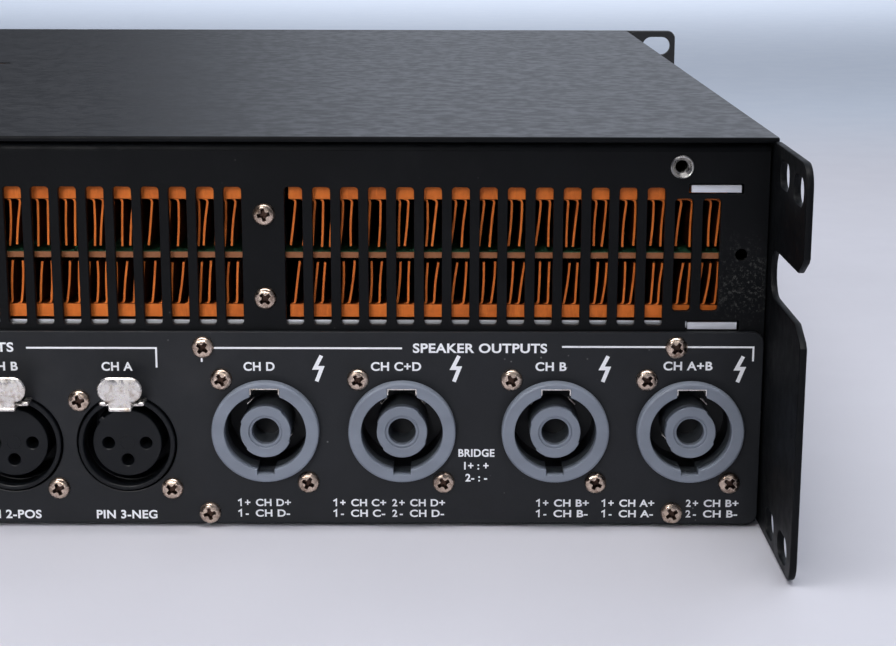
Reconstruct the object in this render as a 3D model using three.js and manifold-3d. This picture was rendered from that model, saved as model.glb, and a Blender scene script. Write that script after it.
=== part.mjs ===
// A two-unit, four-channel touring power amplifier for a 19-inch rack.
// Millimetres, +Z up. The front panel faces -Y and the connector side faces +Y.
// The origin is the middle of the amplifier's footprint, on the surface it stands on.
import * as THREE from "three";
import { mergeVertices } from "three/addons/utils/BufferGeometryUtils.js";
import Module from "manifold-3d";

const wasm = await Module();
wasm.setup();

// ---- driving dimensions: case ---------------------------------------------------------------

const GAP = 0.3; // clearance between touching pieces
const PAST = 1; // how far a cutting tool reaches past the face it cuts
const FACETS = 16; // sides of a round piece
const SMALL_FACETS = 10; // sides of a small hole
const FINE_FACETS = 24; // sides of a large round piece

const HEIGHT = 88; // two rack units, less the usual clearance
const RACK_WIDTH = 483; // across the ears
const BODY_WIDTH = 445; // across the side plates
const REAR_Y = 171; // outer face of the rear panel
const FRONT_Y = -171; // back face of the rack ears
const SHEET = 1.5; // side plates, bottom plate and rear panel
const COVER_SHEET = 1.2;
const INNER_HALF = BODY_WIDTH / 2 - SHEET; // inner face of a side plate
const UNDER_COVER = HEIGHT - COVER_SHEET - GAP;
const INSIDE_REAR = REAR_Y - SHEET - GAP; // the last clear plane in front of the rear panel

const PANEL_THICKNESS = 3;
const EAR_STEP = 0.6; // the ears are this much thicker than the middle of the front panel
const PANEL_FRONT = FRONT_Y - PANEL_THICKNESS;
const PANEL_BACK = FRONT_Y - EAR_STEP;
const EAR_CORNER = 3;
const RACK_SLOT = { x: 234, zLow: 5.9, zHigh: 82.1, width: 11, height: 7 };

// The side plates run on behind the rear panel as rear rack supports, notched at mid height.
const FLANGE = { depth: 39, top: 87.2, upperSetback: 0.6, lowerCorner: 4, upperCorner: 5 };
const NOTCH = { start: 8, low: 54, high: 64.4, lowerFlare: [7.8, 3.8], upperFlare: [5.4, 3.5] };
const FLANGE_SLOT = { length: 10.6, height: 6 };
const FLANGE_SLOTS = [
  { back: 14.5, z: 81.6 },
  { back: 30.3, z: 81 },
  { back: 14, z: 4.8 },
  { back: 29.4, z: 4.8 },
];

// ---- driving dimensions: rear panel and tunnel ------------------------------------------------

const PANEL_FOLD = 12; // the rear panel's top folds this far forward
const PANEL_WINDOW = { margin: 3.5, low: 6, high: 39 }; // opening behind the connector plate
const VENT = { width: 3.9, low: 46.05, high: 76.8, shortLow: 49.3, shortHigh: 74.4 };
// Slots stand in blocks on both sides of the middle; the outermost ones clear the tunnel's tabs.
const VENT_BLOCKS = [
  { first: 7.4, pitch: 6, slots: 17, short: 0 },
  { first: 116.7, pitch: 6.1, slots: 16, short: 2 },
];

const TAB = { inner: 203.6, outer: 214.5, play: 0.5 }; // tunnel plate tabs in the rear panel
const TAB_END = REAR_Y - 0.2;
const TUNNEL_FRONT = 40;
const TUNNEL_BOTTOM = { low: 45.2, high: 46.8, rear: INSIDE_REAR };
const TUNNEL_TOP = { low: 75.8, high: 77.4, rear: REAR_Y - 7 };
const POST = { x: 110.2, half: 3.6, front: REAR_Y - 16 }; // posts between the vent blocks
const BOARD = { low: 60.6, high: 61.9 };

const SINK_REAR = REAR_Y - 3;
const SINK_FRONT = 52;
const SINK_TOP_PLATE = 73.6; // underside of the upper base plates
const SINK_LOW_PLATE = 50.2; // top of the lower base plates
const SINK_TIP_ABOVE_BOARD = 1.2;
const FIN = { count: 12, thickness: 0.8, pitch: 8.4 };
const SINKS = [
  [-212, -115.3],
  [-105.2, -3],
  [3, 105.2],
  [115.3, 212],
];
const TUNNEL_HALF = SINKS[3][1];

// ---- driving dimensions: connectors -----------------------------------------------------------

const PLATE_FACE = REAR_Y + SHEET; // outer face of the connector plate
const PLATE_BACK = REAR_Y + GAP;
const PLATE_HALF = 220.5;
const PLATE_TOP = 44.86;
const PLATE_CORNER = 2.5;

// Loudspeaker and input sockets are numbered from the middle's far side, towards -X.
const SPEAKER_X = [109.98, 140.37, 174.49, 204.57];
const SPEAKER_Z = 22.4;
const SPEAKER = {
  hole: 12.3,
  ring: 11.95,
  bore: 9.1,
  core: 5.75,
  coreBore: 3.05,
  face: PLATE_FACE + 3,
  edge: 0.4,
  coreFace: PLATE_FACE + 2.2,
  grooveDepth: 14,
};
const SPEAKER_KEYS = [
  { halfWidth: 3.3, from: 7, to: 10.2 }, // above the centre
  { halfWidth: 1.7, from: -9.9, to: -7 }, // below the centre
];

const XLR_X = [78.74, 53.26, 27.78, 2.3];
const XLR_Z = 19.06;
const XLR = {
  hole: 11.25,
  ring: 10.85,
  edge: 0.3,
  bore: 9.8,
  insert: 7.8,
  face: PLATE_FACE + 0.6,
  insertFace: PLATE_FACE - 0.4,
  floor: REAR_Y - 14,
};
const XLR_LATCH_ROOM = { halfWidth: 3.4, low: 7.9, high: 12, from: 4 };
const XLR_CONTACT = { radius: 1.35, depth: 9 };
const XLR_CONTACTS = [
  [4.2, 0],
  [-4.2, 0],
  [0, -3.9],
];
const LATCH = { neck: 2.7, tabHalf: 4.9, armLow: XLR_Z + 9.35, armHigh: XLR_Z + 10.15, armFrom: 6 };
const LATCH_TAB = { low: 30, high: 36.1, front: PLATE_FACE + 7.5, thickness: 1, corner: 2.6 };

const SOCKET_REAR = REAR_Y - 20;
const SOCKET_STEP = { y: REAR_Y - 6, size: 0.6 }; // a socket's body is slimmer behind this plane
const SOCKET_FLANGE = { width: 25, height: 31, corner: 3, thickness: 2.5 };

const MAINS = { x: 165, z: 22.3, flangeWidth: 50, flangeHeight: 31, width: 32.5, height: 24.5 };
const MAINS_BODY = { flange: 2.5, corner: 4, wall: 2, rear: REAR_Y - 22, floor: REAR_Y - 18 };
const MAINS_PIN = { width: 2, height: 8, rear: REAR_Y - 21, tip: PLATE_FACE + 0.5 };
const MAINS_PINS = [
  [0, 5],
  [-7, -3.5],
  [7, -3.5],
];

const DIP = { x: 46, z: 22.3, count: 4, pitch: 3.5, width: 17, height: 8.4, rear: REAR_Y - 6 };
const DIP_FACE = PLATE_FACE + 1;
const DIP_SLOT = { width: 2.4, height: 4.6, depth: 3 };
const DIP_LEVER = { width: 1.7, height: 1.9, travel: 2, proud: 0.9 };

// ---- driving dimensions: inside the case ------------------------------------------------------

const PSU_BOARD = { half: 205, front: -120, rear: 140, low: 6, high: 7.6 };
const TRANSFORMER = { x: -65, y: -45, z: PSU_BOARD.high + GAP };
const TRANSFORMER_CORE = { width: 60, depth: 50, height: 34 };
const WINDING_BLOCK = { width: 46, depth: 66, low: 5, high: 29 };
const CAPACITOR_TRAY = { x0: 10, x1: 130, y0: -90, y1: -20, height: 3 };
const CAPACITOR = { radius: 12.5, height: 42, first: 25, pitch: 30, columns: 4, rows: [-72, -38] };

// ---- driving dimensions: front ----------------------------------------------------------------

const GRILLE = { inner: 78, outer: 196, low: 12, high: 76, lap: 4, sheet: 1.2 };
const GRILLE_SLOT = { rows: 8, halfHeight: 2.6, margin: 2 };
const FOAM_THICKNESS = 8;
const FOAM_FRONT = PANEL_BACK + 2 * GAP + GRILLE.sheet;
const FAN = { x: 137, size: 80, depth: 25, bore: 38.5, corner: 4, z: 43.5 };
const FAN_STRUT = { thickness: 3, half: 2, inset: 1, hub: 17 };
const FAN_BLADE = { count: 7, chord: 18, thickness: 1.6, twist: 0.7, from: 14 };
const FAN_HUB = { radius: 16, setback: 1.5, tipClearance: 1 };
const FAN_FRONT = FOAM_FRONT + FOAM_THICKNESS + GAP;

const HANDLE = { x: 209, width: 9, bar: 9, low: 8, high: 80, reach: 36 };
const HANDLE_CORNER = { outer: 9, inner: 4 };

const FASCIA = { half: 74, low: 8, high: 80, thickness: 4, corner: 4 };
const FASCIA_WINDOW = { side: 8, edge: 6 }; // margins of the opening behind the fascia
const FASCIA_BACK = PANEL_FRONT - GAP;
const FASCIA_FACE = FASCIA_BACK - FASCIA.thickness;
const KNOB_X = [-54, -26, 2, 30];
const KNOB_Z = 26;
const KNOB = { radius: 7.5, front: 5.9, shoulder: 6.7, length: 12, shaft: 3, shaftHole: 3.4 };
const KNOB_BACK = FASCIA_FACE - GAP;
const KNOB_SHAFT_END = FASCIA_BACK + 4;
const ROCKER = { x: 58, z: 44, halfWidth: 6.5, radius: 9.5, restDegrees: -6 };
const ROCKER_ROOM = { side: 0.5, end: 0.5 };
const ROCKER_PIVOT_Y = FASCIA_FACE + 2;
const ROCKER_FACE = { edge: -6.2, edgeHeight: 2, dip: -4.4, back: 3 };

// ---- materials ----------------------------------------------------------------------------

function finish(color, roughness, metalness) {
  return { color, roughness, metalness };
}

const BLACK_SHEET = finish(0x1c1d20, 0.55, 0.2);
const COVER_BLACK = finish(0x26272b, 0.5, 0.2);
const BLACK_PLASTIC = finish(0x141518, 0.45, 0);
const GREY_PLASTIC = finish(0x6f7584, 0.45, 0);
const NICKEL = finish(0xc8bfb4, 0.3, 1);
const COPPER = finish(0xb8642a, 0.45, 0.9);
const ALUMINIUM = finish(0xb9bcc0, 0.35, 1);
const BOARD_GREEN = finish(0x2c5a34, 0.5, 0);
const FOAM_BLACK = finish(0x101113, 0.95, 0);
const WINDING = finish(0x9a5a24, 0.5, 0.3);

// ---- solids -------------------------------------------------------------------------------

// A closed three.js geometry as a manifold-3d solid.
function solid(geometry) {
  const bare = geometry.index ? geometry.toNonIndexed() : geometry.clone();
  for (const name of Object.keys(bare.attributes)) {
    if (name !== "position") bare.deleteAttribute(name);
  }
  const merged = mergeVertices(bare, 1e-4);
  const corners = merged.index.array;
  const kept = [];
  for (let i = 0; i < corners.length; i += 3) {
    const [a, b, c] = corners.slice(i, i + 3);
    if (a !== b && b !== c && c !== a) kept.push(a, b, c);
  }
  return new wasm.Manifold(
    new wasm.Mesh({
      numProp: 3,
      vertProperties: merged.attributes.position.array,
      triVerts: new Uint32Array(kept),
    }),
  );
}

function geometryOf(manifold) {
  const mesh = manifold.getMesh();
  const geometry = new THREE.BufferGeometry();
  const positions = new Float32Array(mesh.vertProperties);
  geometry.setAttribute("position", new THREE.BufferAttribute(positions, 3));
  geometry.setIndex(new THREE.BufferAttribute(new Uint32Array(mesh.triVerts), 1));
  const flat = geometry.toNonIndexed();
  flat.computeVertexNormals();
  return flat;
}

function joined(solids) {
  return solids.reduce((whole, piece) => whole.add(piece));
}

function cut(body, solids) {
  return solids.reduce((whole, piece) => whole.subtract(piece), body);
}

function box(x0, x1, y0, y1, z0, z1) {
  const geometry = new THREE.BoxGeometry(x1 - x0, y1 - y0, z1 - z0);
  geometry.translate((x0 + x1) / 2, (y0 + y1) / 2, (z0 + z1) / 2);
  return solid(geometry);
}

// A closed outline from [a, b] points, given anticlockwise.
function outline(points) {
  return new THREE.Shape(points.map(([a, b]) => new THREE.Vector2(a, b)));
}

function roundedRectangle(a0, a1, b0, b1, radius) {
  const shape = new THREE.Shape();
  shape.moveTo(a0 + radius, b0);
  shape.lineTo(a1 - radius, b0);
  shape.absarc(a1 - radius, b0 + radius, radius, -Math.PI / 2, 0);
  shape.lineTo(a1, b1 - radius);
  shape.absarc(a1 - radius, b1 - radius, radius, 0, Math.PI / 2);
  shape.lineTo(a0 + radius, b1);
  shape.absarc(a0 + radius, b1 - radius, radius, Math.PI / 2, Math.PI);
  shape.lineTo(a0, b0 + radius);
  shape.absarc(a0 + radius, b0 + radius, radius, Math.PI, 1.5 * Math.PI);
  return shape;
}

// A slot with round ends, centred on (a, b) and long along a.
function slotShape(a, b, width, height) {
  return roundedRectangle(a - width / 2, a + width / 2, b - height / 2, b + height / 2, height / 2);
}

function extruded(shape, depth, curveSegments) {
  return new THREE.ExtrudeGeometry(shape, { depth, curveSegments, bevelEnabled: false, steps: 1 });
}

// An (x, z) outline made solid from y0 to y1.
function plateAcrossY(shape, y0, y1, curveSegments = 3) {
  const geometry = extruded(shape, y1 - y0, curveSegments);
  geometry.rotateX(Math.PI / 2);
  geometry.translate(0, y1, 0);
  return solid(geometry);
}

// A (y, z) outline made solid from x0 to x1.
function plateAcrossX(shape, x0, x1, curveSegments = 3) {
  const geometry = extruded(shape, x1 - x0, curveSegments);
  const toYZ = new THREE.Matrix4().makeBasis(
    new THREE.Vector3(0, 1, 0),
    new THREE.Vector3(0, 0, 1),
    new THREE.Vector3(1, 0, 0),
  );
  geometry.applyMatrix4(toYZ);
  geometry.translate(x0, 0, 0);
  return solid(geometry);
}

// An (x, y) outline made solid from z0 to z1.
function plateAcrossZ(shape, z0, z1, curveSegments = 3) {
  const geometry = extruded(shape, z1 - z0, curveSegments);
  geometry.translate(0, 0, z0);
  return solid(geometry);
}

function rodAlongY(x, z, radius, y0, y1, facets = FACETS) {
  const geometry = new THREE.CylinderGeometry(radius, radius, y1 - y0, facets);
  geometry.translate(x, (y0 + y1) / 2, z);
  return solid(geometry);
}

function rodAlongX(y, z, radius, x0, x1, facets = FACETS) {
  const geometry = new THREE.CylinderGeometry(radius, radius, x1 - x0, facets);
  geometry.rotateZ(Math.PI / 2);
  geometry.translate((x0 + x1) / 2, y, z);
  return solid(geometry);
}

function rodAlongZ(x, y, radius, z0, z1, facets = FACETS) {
  const geometry = new THREE.CylinderGeometry(radius, radius, z1 - z0, facets);
  geometry.rotateX(Math.PI / 2);
  geometry.translate(x, y, (z0 + z1) / 2);
  return solid(geometry);
}

// A profile of [radius, y] points, turned about the Y axis through (x, z).
function turnedAboutY(profile, x, z, facets = FACETS) {
  const points = profile.map(([radius, y]) => new THREE.Vector2(radius, y));
  const geometry = new THREE.LatheGeometry(points, facets);
  geometry.translate(x, 0, z);
  return solid(geometry);
}

const amplifier = new THREE.Group();
amplifier.name = "power_amplifier";

function addPart(name, manifold, look) {
  const mesh = new THREE.Mesh(geometryOf(manifold), new THREE.MeshStandardMaterial(look));
  mesh.name = name;
  amplifier.add(mesh);
}

// ---- case ---------------------------------------------------------------------------------

function bottomPlate() {
  const half = INNER_HALF - GAP;
  return box(-half, half, PANEL_BACK + GAP, INSIDE_REAR, 0, SHEET);
}

// The side plate's outline in (y, z): a full-height wall whose rear support is notched.
function sidePlateOutline() {
  const front = FRONT_Y + GAP;
  const coverEnd = PLATE_FACE + GAP;
  const rear = REAR_Y + FLANGE.depth;
  const upperRear = rear - FLANGE.upperSetback;
  const { lowerCorner, upperCorner, top } = FLANGE;
  const notchRadius = (NOTCH.high - NOTCH.low) / 2;
  const notchZ = NOTCH.low + notchRadius;
  const notchY = REAR_Y + NOTCH.start;
  const [lowerBack, lowerDrop] = NOTCH.lowerFlare;
  const [upperBack, upperRise] = NOTCH.upperFlare;
  const shape = new THREE.Shape();
  shape.moveTo(front, 0);
  shape.lineTo(rear - lowerCorner, 0);
  shape.absarc(rear - lowerCorner, lowerCorner, lowerCorner, -Math.PI / 2, 0);
  shape.lineTo(rear, NOTCH.low - lowerDrop);
  shape.lineTo(rear - lowerBack, NOTCH.low);
  shape.lineTo(notchY, NOTCH.low);
  shape.absarc(notchY, notchZ, notchRadius, -Math.PI / 2, Math.PI / 2, true);
  shape.lineTo(upperRear - upperBack, NOTCH.high);
  shape.lineTo(upperRear, NOTCH.high + upperRise);
  shape.lineTo(upperRear, top - upperCorner);
  shape.absarc(upperRear - upperCorner, top - upperCorner, upperCorner, 0, Math.PI / 2);
  shape.lineTo(coverEnd, top);
  shape.lineTo(coverEnd, UNDER_COVER);
  shape.lineTo(front, UNDER_COVER);
  return shape;
}

function sidePlate(side) {
  const xs = [side * INNER_HALF, (side * BODY_WIDTH) / 2];
  const [x0, x1] = [Math.min(...xs), Math.max(...xs)];
  const plate = plateAcrossX(sidePlateOutline(), x0, x1, 4);
  const { length, height } = FLANGE_SLOT;
  const slots = FLANGE_SLOTS.map(({ back, z }) =>
    plateAcrossX(slotShape(REAR_Y + back, z, length, height), x0 - PAST, x1 + PAST),
  );
  return cut(plate, slots);
}

function topCover() {
  return box(
    -BODY_WIDTH / 2 + GAP,
    BODY_WIDTH / 2 - GAP,
    PANEL_BACK + GAP,
    PLATE_FACE,
    HEIGHT - COVER_SHEET,
    HEIGHT,
  );
}

// ---- rear panel ---------------------------------------------------------------------------

function ventHole(x, low, high) {
  const half = VENT.width / 2;
  return box(x - half, x + half, REAR_Y - SHEET - PAST, REAR_Y + PAST, low, high);
}

function ventHoles() {
  const holes = [];
  for (const { first, pitch, slots, short } of VENT_BLOCKS) {
    for (let i = 0; i < slots; i++) {
      const [low, high] =
        i >= slots - short ? [VENT.shortLow, VENT.shortHigh] : [VENT.low, VENT.high];
      const x = first + i * pitch;
      holes.push(ventHole(x, low, high), ventHole(-x, low, high));
    }
  }
  return holes;
}

function tabHoles() {
  const { inner, outer, play } = TAB;
  const holes = [];
  for (const side of [-1, 1]) {
    const [x0, x1] = side > 0 ? [inner - play, outer + play] : [-outer - play, -inner + play];
    for (const { low, high } of [TUNNEL_BOTTOM, TUNNEL_TOP]) {
      holes.push(box(x0, x1, REAR_Y - SHEET - PAST, REAR_Y + PAST, low - GAP, high + GAP));
    }
  }
  return holes;
}

// The rear panel folds forward under the cover, and is open behind the connector plate.
function rearVentPanel() {
  const half = INNER_HALF - GAP;
  const top = UNDER_COVER;
  const inner = REAR_Y - SHEET;
  const panel = box(-half, half, inner, REAR_Y, SHEET + GAP, top);
  const fold = box(-half, half, REAR_Y - PANEL_FOLD, inner + GAP, top - COVER_SHEET, top);
  const { margin, low, high } = PANEL_WINDOW;
  const window = box(-half + margin, half - margin, inner - PAST, REAR_Y + PAST, low, high);
  return cut(joined([panel, fold]), [window, ...ventHoles(), ...tabHoles()]);
}

function connectorPlate() {
  const plate = plateAcrossY(
    roundedRectangle(-PLATE_HALF, PLATE_HALF, GAP, PLATE_TOP, PLATE_CORNER),
    PLATE_BACK,
    PLATE_FACE,
    2,
  );
  const from = PLATE_BACK - PAST;
  const to = PLATE_FACE + PAST;
  const holes = [
    ...SPEAKER_X.map((x) => rodAlongY(-x, SPEAKER_Z, SPEAKER.hole, from, to)),
    ...XLR_X.map((x) => rodAlongY(-x, XLR_Z, XLR.hole, from, to)),
    centredBox(MAINS.x, MAINS.z, MAINS.width + 2 * GAP, MAINS.height + 2 * GAP, from, to),
    centredBox(DIP.x, DIP.z, DIP.width + 2 * GAP, DIP.height + 2 * GAP, from, to),
  ];
  return cut(plate, holes);
}

function centredBox(x, z, width, height, y0, y1) {
  return box(x - width / 2, x + width / 2, y0, y1, z - height / 2, z + height / 2);
}

// ---- sockets ------------------------------------------------------------------------------

// The square mounting flange of a socket, behind the rear panel.
function socketFlange(x, z) {
  const { width, height, corner, thickness } = SOCKET_FLANGE;
  const shape = roundedRectangle(
    x - width / 2,
    x + width / 2,
    z - height / 2,
    z + height / 2,
    corner,
  );
  return plateAcrossY(shape, INSIDE_REAR - thickness, INSIDE_REAR, 1);
}

// The round body of a socket, from behind the panel to its bevelled face.
function socketBarrel(x, z, radius, face, edge) {
  const profile = [
    [0, SOCKET_REAR],
    [radius - SOCKET_STEP.size, SOCKET_REAR],
    [radius - SOCKET_STEP.size, SOCKET_STEP.y],
    [radius, SOCKET_STEP.y],
    [radius, face - edge],
    [radius - edge, face],
    [0, face],
  ];
  return turnedAboutY(profile, x, z);
}

// A locking loudspeaker socket: outer ring, deep groove and central core in one moulding.
function speakerSocket(x) {
  const { ring, bore, core, coreBore, face, edge, coreFace, grooveDepth } = SPEAKER;
  const floor = face - grooveDepth;
  const past = face + PAST;
  const groove = [
    [core, floor],
    [bore, floor],
    [bore, past],
    [core, past],
    [core, floor],
  ];
  const keys = SPEAKER_KEYS.map(({ halfWidth, from, to }) =>
    box(-x - halfWidth, -x + halfWidth, floor + PAST, past, SPEAKER_Z + from, SPEAKER_Z + to),
  );
  const cavities = [
    turnedAboutY(groove, -x, SPEAKER_Z),
    rodAlongY(-x, SPEAKER_Z, coreBore, floor, past),
    rodAlongY(-x, SPEAKER_Z, core + PAST, coreFace, past),
    ...keys,
  ];
  const body = socketBarrel(-x, SPEAKER_Z, ring, face, edge);
  return cut(joined([body, socketFlange(-x, SPEAKER_Z)]), cavities);
}

// The black shell of an input socket, notched at the top for its release latch.
function xlrShell(x) {
  const { ring, bore, face, edge, floor } = XLR;
  const { halfWidth, low, high, from } = XLR_LATCH_ROOM;
  const past = face + PAST;
  const cavities = [
    rodAlongY(-x, XLR_Z, bore, floor, past),
    box(-x - halfWidth, -x + halfWidth, floor + from, past, XLR_Z + low, XLR_Z + high),
  ];
  const body = socketBarrel(-x, XLR_Z, ring, face, edge);
  return cut(joined([body, socketFlange(-x, XLR_Z)]), cavities);
}

function xlrInsert(x) {
  const { insert, insertFace, floor } = XLR;
  const { radius, depth } = XLR_CONTACT;
  const body = rodAlongY(-x, XLR_Z, insert, floor + GAP, insertFace);
  const holes = XLR_CONTACTS.map(([dx, dz]) =>
    rodAlongY(-x + dx, XLR_Z + dz, radius, insertFace - depth, insertFace + PAST, SMALL_FACETS),
  );
  return cut(body, holes);
}

// The sprung release: an oval thumb tab on a neck, and an arm that runs in over the insert.
function xlrLatch(x) {
  const { neck, tabHalf, armLow, armHigh, armFrom } = LATCH;
  const { low, high, front, thickness, corner } = LATCH_TAB;
  const tab = roundedRectangle(-x - tabHalf, -x + tabHalf, low, high, corner);
  return joined([
    plateAcrossY(tab, front - thickness, front),
    box(-x - neck, -x + neck, front - thickness, front, armLow, low + thickness),
    box(-x - neck, -x + neck, XLR.floor + armFrom, front, armLow, armHigh),
  ]);
}

// A three-pin mains inlet with its pins inside a recess.
function mainsInlet() {
  const { x, z, flangeWidth, flangeHeight, width, height } = MAINS;
  const { flange, corner, wall, rear, floor } = MAINS_BODY;
  const flangeFrom = PLATE_FACE + GAP;
  const face = flangeFrom + flange;
  const plate = plateAcrossY(
    roundedRectangle(
      x - flangeWidth / 2,
      x + flangeWidth / 2,
      z - flangeHeight / 2,
      z + flangeHeight / 2,
      corner,
    ),
    flangeFrom,
    face,
  );
  const body = centredBox(x, z, width, height, rear, face);
  const recess = centredBox(x, z, width - 2 * wall, height - 2 * wall, floor, face + PAST);
  const pins = MAINS_PINS.map(([dx, dz]) =>
    centredBox(x + dx, z + dz, MAINS_PIN.width, MAINS_PIN.height, MAINS_PIN.rear, MAINS_PIN.tip),
  );
  return joined([cut(joined([plate, body]), [recess]), ...pins]);
}

function dipX(index) {
  return DIP.x + (index - (DIP.count - 1) / 2) * DIP.pitch;
}

function dipSwitchBlock() {
  const { width, height, depth } = DIP_SLOT;
  const block = centredBox(DIP.x, DIP.z, DIP.width, DIP.height, DIP.rear, DIP_FACE);
  const slots = [];
  for (let i = 0; i < DIP.count; i++) {
    slots.push(centredBox(dipX(i), DIP.z, width, height, DIP_FACE - depth, DIP_FACE + PAST));
  }
  return cut(block, slots);
}

// A slide lever at the low end of its travel.
function dipLever(index) {
  const { width, height, travel, proud } = DIP_LEVER;
  const from = DIP_FACE - DIP_SLOT.depth + GAP;
  return centredBox(dipX(index), DIP.z - travel / 2, width, height, from, DIP_FACE + proud);
}

// ---- cooling tunnel -----------------------------------------------------------------------

function tunnelPlate({ low, high, rear }) {
  const { inner, outer } = TAB;
  return joined([
    box(-TUNNEL_HALF, TUNNEL_HALF, TUNNEL_FRONT, rear, low, high),
    box(inner, outer, TUNNEL_FRONT, TAB_END, low, high),
    box(-outer, -inner, TUNNEL_FRONT, TAB_END, low, high),
  ]);
}

// Posts between the vent blocks stand on the lower plate.
function tunnelPlateBottom() {
  const { low, rear } = TUNNEL_BOTTOM;
  const posts = [-POST.x, POST.x].map((x) =>
    box(x - POST.half, x + POST.half, POST.front, rear, low, TUNNEL_TOP.low - GAP),
  );
  return joined([tunnelPlate(TUNNEL_BOTTOM), ...posts]);
}

// A row of fins on a base plate: the base runs from baseLow to baseHigh, the fins to tip.
function heatsink([x0, x1], baseLow, baseHigh, tip) {
  const base = box(x0, x1, SINK_FRONT, SINK_REAR, baseLow, baseHigh);
  const [finLow, finHigh] = tip > baseHigh ? [baseLow, tip] : [tip, baseHigh];
  const middle = (x0 + x1) / 2;
  const half = FIN.thickness / 2;
  const fins = [];
  for (let i = 0; i < FIN.count; i++) {
    const x = middle + (i - (FIN.count - 1) / 2) * FIN.pitch;
    fins.push(box(x - half, x + half, SINK_FRONT, SINK_REAR, finLow, finHigh));
  }
  return joined([base, ...fins]);
}

function addHeatsinks() {
  SINKS.forEach((span, i) => {
    const upperTip = BOARD.high + SINK_TIP_ABOVE_BOARD;
    const upper = heatsink(span, SINK_TOP_PLATE, TUNNEL_TOP.low - GAP, upperTip);
    const lower = heatsink(span, TUNNEL_BOTTOM.high + GAP, SINK_LOW_PLATE, BOARD.low - GAP);
    addPart(`heatsink_upper_${i + 1}`, upper, COPPER);
    addPart(`heatsink_lower_${i + 1}`, lower, COPPER);
  });
}

// A circuit board between the upper and lower fins, notched around its post.
function ampBoard(side) {
  const xs = [side * SINKS[2][0], side * SINKS[3][1]];
  const [x0, x1] = [Math.min(...xs), Math.max(...xs)];
  const board = box(x0, x1, TUNNEL_FRONT, SINK_REAR, BOARD.low, BOARD.high);
  const reach = POST.half + GAP;
  const x = side * POST.x;
  const [below, above] = [BOARD.low - PAST, BOARD.high + PAST];
  const notch = box(x - reach, x + reach, POST.front - GAP, REAR_Y, below, above);
  return cut(board, [notch]);
}

// ---- inside the case ----------------------------------------------------------------------

function psuBoard() {
  const { half, front, rear, low, high } = PSU_BOARD;
  return box(-half, half, front, rear, low, high);
}

function transformerBlock({ width, depth }, low, high) {
  const { x, y } = TRANSFORMER;
  return box(x - width / 2, x + width / 2, y - depth / 2, y + depth / 2, low, high);
}

function transformer() {
  const from = TRANSFORMER.z;
  return joined([
    transformerBlock(TRANSFORMER_CORE, from, from + TRANSFORMER_CORE.height),
    transformerBlock(WINDING_BLOCK, from + WINDING_BLOCK.low, from + WINDING_BLOCK.high),
  ]);
}

function capacitorBank() {
  const from = PSU_BOARD.high + GAP;
  const { x0, x1, y0, y1, height } = CAPACITOR_TRAY;
  const { radius, first, pitch, columns, rows } = CAPACITOR;
  const cans = [];
  for (let i = 0; i < columns; i++) {
    for (const y of rows) {
      cans.push(rodAlongZ(first + i * pitch, y, radius, from, from + CAPACITOR.height));
    }
  }
  return joined([box(x0, x1, y0, y1, from, from + height), ...cans]);
}

// ---- front --------------------------------------------------------------------------------

// The front panel with its rack ears, which are slightly thicker than the middle.
function frontPanel() {
  const half = RACK_WIDTH / 2;
  const shape = roundedRectangle(-half, half, 0, HEIGHT, EAR_CORNER);
  const plate = plateAcrossY(shape, PANEL_FRONT, FRONT_Y);
  const earFrom = BODY_WIDTH / 2 + GAP;
  const from = PANEL_FRONT - PAST;
  const to = FRONT_Y + PAST;
  const cuts = [box(-earFrom, earFrom, PANEL_BACK, to, -PAST, HEIGHT + PAST)];
  for (const side of [-1, 1]) {
    for (const z of [RACK_SLOT.zLow, RACK_SLOT.zHigh]) {
      const slot = slotShape(side * RACK_SLOT.x, z, RACK_SLOT.width, RACK_SLOT.height);
      cuts.push(plateAcrossY(slot, from, to));
    }
    const [x0, x1] = side > 0 ? [GRILLE.inner, GRILLE.outer] : [-GRILLE.outer, -GRILLE.inner];
    cuts.push(box(x0, x1, from, to, GRILLE.low, GRILLE.high));
  }
  const { side: sideMargin, edge } = FASCIA_WINDOW;
  const windowHalf = FASCIA.half - sideMargin;
  cuts.push(box(-windowHalf, windowHalf, from, to, FASCIA.low + edge, FASCIA.high - edge));
  return cut(plate, cuts);
}

// The x span of what stands behind an air intake.
function intakeSpan(side) {
  const { inner, outer, lap } = GRILLE;
  const xs = [side * (inner - lap), side * (outer + lap)];
  return [Math.min(...xs), Math.max(...xs)];
}

// A slotted grille sheet behind each air intake.
function frontGrille(side) {
  const { low, high, lap, sheet } = GRILLE;
  const { rows, halfHeight, margin } = GRILLE_SLOT;
  const [x0, x1] = intakeSpan(side);
  const inset = lap + margin;
  const front = PANEL_BACK + GAP;
  const rear = front + sheet;
  const rowPitch = (high - low) / rows;
  const slots = [];
  for (let i = 0; i < rows; i++) {
    const z = low + (i + 0.5) * rowPitch;
    const [from, to] = [front - PAST, rear + PAST];
    slots.push(box(x0 + inset, x1 - inset, from, to, z - halfHeight, z + halfHeight));
  }
  return cut(box(x0, x1, front, rear, low - lap, high + lap), slots);
}

function filterFoam(side) {
  const { low, high, lap } = GRILLE;
  const [x0, x1] = intakeSpan(side);
  return box(x0, x1, FOAM_FRONT, FOAM_FRONT + FOAM_THICKNESS, low - lap, high + lap);
}

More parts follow.
